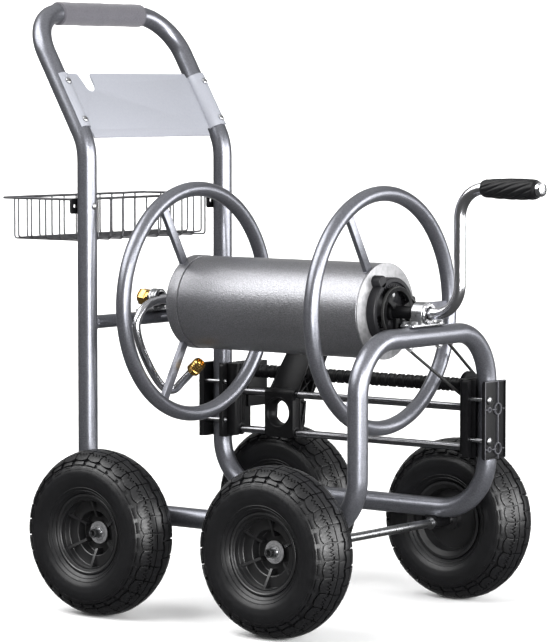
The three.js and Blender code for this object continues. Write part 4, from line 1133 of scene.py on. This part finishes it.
def clamps():
    for end, tube_x, outward in (("rear", LEG_X, -1), ("front", POST_X, 1)):
        inner_clamp(end, tube_x, outward)
        outer_clamp(end, tube_x, outward)
        outer_span, inner_span = TUBE_R + (10.6 if end == "rear" else 4.4), TUBE_R + 7
        to_head, to_tip = (inner_span, outer_span) if end == "rear" else (outer_span, inner_span)
        for k, z in enumerate(CLAMP_BOLT_Z):
            head_x = tube_x + to_head
            shank = rod(3.5, (head_x + 0.5, CLAMP_BOLT_Y, z), (tube_x - to_tip - 4, CLAMP_BOLT_Y, z))
            head = 6.2 if end == "front" else 4
            shapes = [dome(X, (head_x, CLAMP_BOLT_Y, z), head, 3.4), shank]
            shapes.append(hexagon(10, 0, 3.4, -X, (tube_x - to_tip, CLAMP_BOLT_Y, z)))
            piece(f"clamp_bolt_{end}_{k + 1}_flanged", shapes, "frame", ZINC, [f"clamp_bolt_{end}_{k + 1}"])


def outer_clamp(end, tube_x, outward):
    y0, y1 = {"rear": (137, 200), "front": (130.5, 188)}[end]
    near = tube_x + outward * (TUBE_R + 0.3)
    thick, rib = {"rear": (4, 6), "front": (3.4, 2.6)}[end]
    span = sorted((near, near + outward * thick))
    slots = [rounded(163, 171, z - 7, z + 7, 3.9) for z in (250.7, 311.6)] if end == "rear" else []
    shapes = [prism(rounded(y0, y1, *CLAMP_Z, 5), *span, Y, Z, holes=slots)]
    face = near + outward * thick
    wall = 0.9
    rib_span = sorted((face - outward, face + outward * rib))
    for y in (y0 + wall, y1 - wall):
        shapes.append(block(*rib_span, y - wall, y + wall, *CLAMP_Z))
    for z in (CLAMP_Z[0] + wall, CLAMP_Z[1] - wall):
        shapes.append(block(*rib_span, y0, y1, z - wall, z + wall))
    name = f"guide_clamp_{end}_outer"
    piece(f"{name}_ribbed", shapes, "frame", PLASTIC, [name], soften=0.5)
    if end == "front":
        # the rib tops are drawn again in the paler plastic, as a painted highlight
        piece("guide_clamp_front_outer_painted_rib_tops", rib_edges(face, y0, y1), "frame", RIB_HIGHLIGHT_PLASTIC, soften=0.3)


def rib_edges(face, y0, y1):
    """The rib tops of the front outer clamp, in a paler shade that stands for the light they catch.

    They are a border, a middle rib, and rings joined by bars.
    """
    middle_y, small_y = 167, 143.5
    low, high = CLAMP_Z
    tops = [(y0 + 1.1, low, high), (middle_y, low, 242.5), (middle_y, 260.5, 303.5), (middle_y, 321.5, high)]
    shapes = [block(face - 1, face + 3, y - 0.8, y + 0.8, z0, z1) for y, z0, z1 in tops]
    shapes.append(block(face - 1, face + 3, y0 + 1, y1 - 1, high - 1.6, high))
    bars = [(2.4, y0 + 2, small_y - 3.4), (5.6, small_y + 3.4, middle_y - 8.6), (5.6, middle_y + 8.6, y1 - 8)]
    for z in (251.5, 312.5):
        shapes += [block(face - 1, face + depth, start, end, z - 0.7, z + 0.7) for depth, start, end in bars]
        for y, r in ((middle_y, 9.4), (small_y, 4.4)):
            ring = [(r, face - 1), (r, face + 3), (r - 1.6, face + 3), (r - 1.6, face - 1)]
            shapes.append(lathe(ring, X, (0, y, z), 36))
    return shapes


def inner_clamp(end, tube_x, outward):
    low, high = CLAMP_Z
    root, face = tube_x - outward * (TUBE_R + 0.3), tube_x - outward * (TUBE_R + 24)

    def slab(depth, y0, y1, z0, z1):
        return block(*sorted((root, root - outward * depth)), y0, y1, z0, z1)
    depth = 6.4 if end == "rear" else 11
    face_plate = rounded(138, 186, low, high, 6)
    shapes = [prism(face_plate, *sorted((root, root - outward * depth)), Y, Z)]
    wrap = sorted((tube_x - outward * 8, root))
    for y in ((SIDE_Y - TUBE_R - 4, SIDE_Y - TUBE_R - 0.4), (SIDE_Y + TUBE_R + 0.4, SIDE_Y + TUBE_R + 4)):
        shapes.append(block(*wrap, *y, low, high))
    half = 10 if end == "rear" else 11
    centre_y = 161 if end == "rear" else 158
    outline = arc((face + outward * 9, centre_y), half, *((90, 270) if outward > 0 else (90, -90)))
    outline += [(root, centre_y - half), (root, centre_y + half)]
    shapes.append(prism(outline, low + 4, high, X, Y))
    if end == "rear":
        shapes.append(slab(22, 166, 193, 247, high))
        shapes.append(slab(26, 182, 232, 284, high + 1))
        shapes.append(tube([(face + 0.5, 173, 262), (face + 0.5, 173, 350)], 0.8, 8))
        shapes.append(tube([(face - 2.4, 200, 292), (face - 2.4, 200, 330)], 0.8, 8))
        shapes.append(lathe([(2, 25), (3.6, 25), (3.6, 27), (2, 27)], X, (root, 200, 309), 24))
    else:
        shapes.append(slab(22, 169, 186, low + 2, high - 40))
        shapes.append(slab(22, 166, 214, 318, high))
    for z in ROD_Z:
        sleeve = [(ROD_R + 0.4, 0), (ROD_R + 3.6, 0), (ROD_R + 3.6, 25), (ROD_R + 0.4, 25)]
        shapes.append(lathe(sleeve, X * -outward, (root, GUIDE_Y, z), 32))
    boss = [(5.6, 0), (12, 0), (12, 27), (11, 29.5), (5.6, 29.5)]
    shapes.append(lathe(boss, X * -outward, (root, SCREW_Y, SCREW_Z), 40))
    name = f"guide_clamp_{end}_inner"
    piece(f"{name}_moulded", shapes, "frame", PLASTIC, [name], soften=0.5)


# ---- stage, light and camera, in metres -----------------------------------------------------------
ROOM_LEVEL = 0.1
BACKDROP_LEVEL = 0.72
CEILING_LEVEL = 0.62
AZIMUTH = math.radians(37.84)
ELEVATION = math.radians(4.19)
CAMERA_DISTANCE = 4.9069
CAMERA_TARGET = Vector((-0.0166 + MID_X, 0, 0.4429))
LENS = 178.1
BEHIND = Vector((-math.sin(AZIMUTH), math.cos(AZIMUTH), 0))
ACROSS = Vector((math.cos(AZIMUTH), math.sin(AZIMUTH), 0))
Z_UP = Vector((0, 0, 1))


def stage():
    """A pale floor that sweeps up into a backdrop behind the cart."""
    mesh = bpy.data.meshes.new("studio_floor")
    near, far, half_width, top, bend = -2.8, 2.4, 3.6, 3.4, 1.6
    line = [(near, 0.0), (far, 0.0)]
    line += [(far + bend * math.sin(a), bend - bend * math.cos(a)) for a in np.linspace(0, math.pi / 2, 24)]
    line += [(far + bend, top)]
    verts = [BEHIND * d + ACROSS * side + Z_UP * z for d, z in line for side in (-half_width, half_width)]
    mesh.from_pydata(verts, [], [(2 * k, 2 * k + 1, 2 * k + 3, 2 * k + 2) for k in range(len(line) - 1)])
    for polygon in mesh.polygons:
        polygon.use_smooth = True
    floor = bpy.data.objects.new("studio_floor", mesh)
    bpy.context.scene.collection.objects.link(floor)
    material = bpy.data.materials.new("studio_floor")
    material.use_nodes = True
    tree = material.node_tree
    shader = tree.nodes["Principled BSDF"]
    shader.inputs["Base Color"].default_value = (0.86, 0.86, 0.86, 1)
    shader.inputs["Roughness"].default_value = 0.9
    # the sweep is clear from behind, so that it hides nothing in views of the cart's far side
    clear = tree.nodes.new("ShaderNodeBsdfTransparent")
    side = tree.nodes.new("ShaderNodeMixShader")
    tree.links.new(tree.nodes.new("ShaderNodeNewGeometry").outputs["Backfacing"], side.inputs[0])
    tree.links.new(shader.outputs[0], side.inputs[1])
    tree.links.new(clear.outputs[0], side.inputs[2])
    tree.links.new(side.outputs[0], tree.nodes["Material Output"].inputs["Surface"])
    mesh.materials.append(material)
    floor.visible_glossy = False
    bpy.context.scene.world = studio_world()
    bpy.context.scene.view_settings.view_transform = "Standard"


def studio_world():
    """A dim room with a bright ceiling and a white backdrop; seen directly, it is pale all round."""
    world = bpy.data.worlds.new("studio")
    world.use_nodes = True
    tree = world.node_tree
    place = tree.nodes.new("ShaderNodeTexCoord")
    facing = tree.nodes.new("ShaderNodeVectorMath")
    facing.operation = "DOT_PRODUCT"
    facing.inputs[1].default_value = BEHIND
    tree.nodes["Background"].inputs["Color"].default_value = (1, 1, 1, 1)
    height = tree.nodes.new("ShaderNodeSeparateXYZ")
    total = tree.nodes.new("ShaderNodeMath")
    tree.links.new(place.outputs["Generated"], facing.inputs[0])
    tree.links.new(place.outputs["Generated"], height.inputs[0])
    parts = ((facing.outputs["Value"], 0.8, 0.97, ROOM_LEVEL, BACKDROP_LEVEL),
             (height.outputs["Z"], 0.4, 0.8, 0, CEILING_LEVEL))
    for slot, (source, start, end, low, high) in enumerate(parts):
        level = tree.nodes.new("ShaderNodeMapRange")
        level.interpolation_type = "SMOOTHSTEP"
        for socket, value in (("From Min", start), ("From Max", end), ("To Min", low), ("To Max", high)):
            level.inputs[socket].default_value = value
        tree.links.new(source, level.inputs["Value"])
        tree.links.new(level.outputs["Result"], total.inputs[slot])
    seen = tree.nodes.new("ShaderNodeMath")
    seen.operation = "MAXIMUM"
    tree.links.new(total.outputs["Value"], seen.inputs[0])
    tree.links.new(tree.nodes.new("ShaderNodeLightPath").outputs["Is Camera Ray"], seen.inputs[1])
    tree.links.new(seen.outputs["Value"], tree.nodes["Background"].inputs["Strength"])
    return world


def away_from_cart(heading, lift):
    """The direction from the cart at a heading about Z and a lift above the floor."""
    return Vector((math.sin(heading) * math.cos(lift), -math.cos(heading) * math.cos(lift), math.sin(lift)))


def facing_rotation(direction):
    """The rotation that points a lamp or a camera along a direction."""
    return direction.to_track_quat("-Z", "Y").to_euler()


def area_light(name, turn, rise, distance, size, power):
    """A soft light that faces the cart, turned to the right of the camera and raised, in degrees."""
    away = away_from_cart(AZIMUTH + math.radians(turn), math.radians(rise))
    data = bpy.data.lights.new(name, "AREA")
    data.shape = "RECTANGLE"
    data.size, data.size_y = size
    data.energy = power
    lamp = bpy.data.objects.new(name, data)
    lamp.location = Vector((MID_X, 0, 0.45)) + away * distance
    lamp.rotation_euler = facing_rotation(-away)
    bpy.context.scene.collection.objects.link(lamp)
    return lamp


def lights():
    area_light("key_right", 68, 9, 3.4, (4.6, 1.5), 215)
    area_light("key_left_high", -72, 46, 3.4, (3.4, 3.0), 190)
    area_light("key_edge", 20, 7, 3.6, (1.3, 1.7), 150)
    wash = area_light("backdrop_wash", 180, 62, 2.6, (5.0, 1.0), 110)
    wash.rotation_euler = facing_rotation(BEHIND - Z_UP * 0.42)


def camera():
    data = bpy.data.cameras.new("camera")
    data.lens = LENS
    data.sensor_width = 36
    data.clip_end = 200
    view = bpy.data.objects.new("camera", data)
    back = away_from_cart(AZIMUTH, ELEVATION)
    view.location = CAMERA_TARGET + back * CAMERA_DISTANCE
    view.rotation_euler = facing_rotation(-back)
    bpy.context.scene.collection.objects.link(view)
    bpy.context.scene.camera = view


camera()
stage()
lights()
frame_tubes()
foam_grip()
hook_plate()
basket()
wheels()
axles()
reel_cage()
gear_housing()
crank()
outlet()
front_bearing()
inlet()
guide_rods()
lead_screw()
drive_belt()
carriage()
clamps()
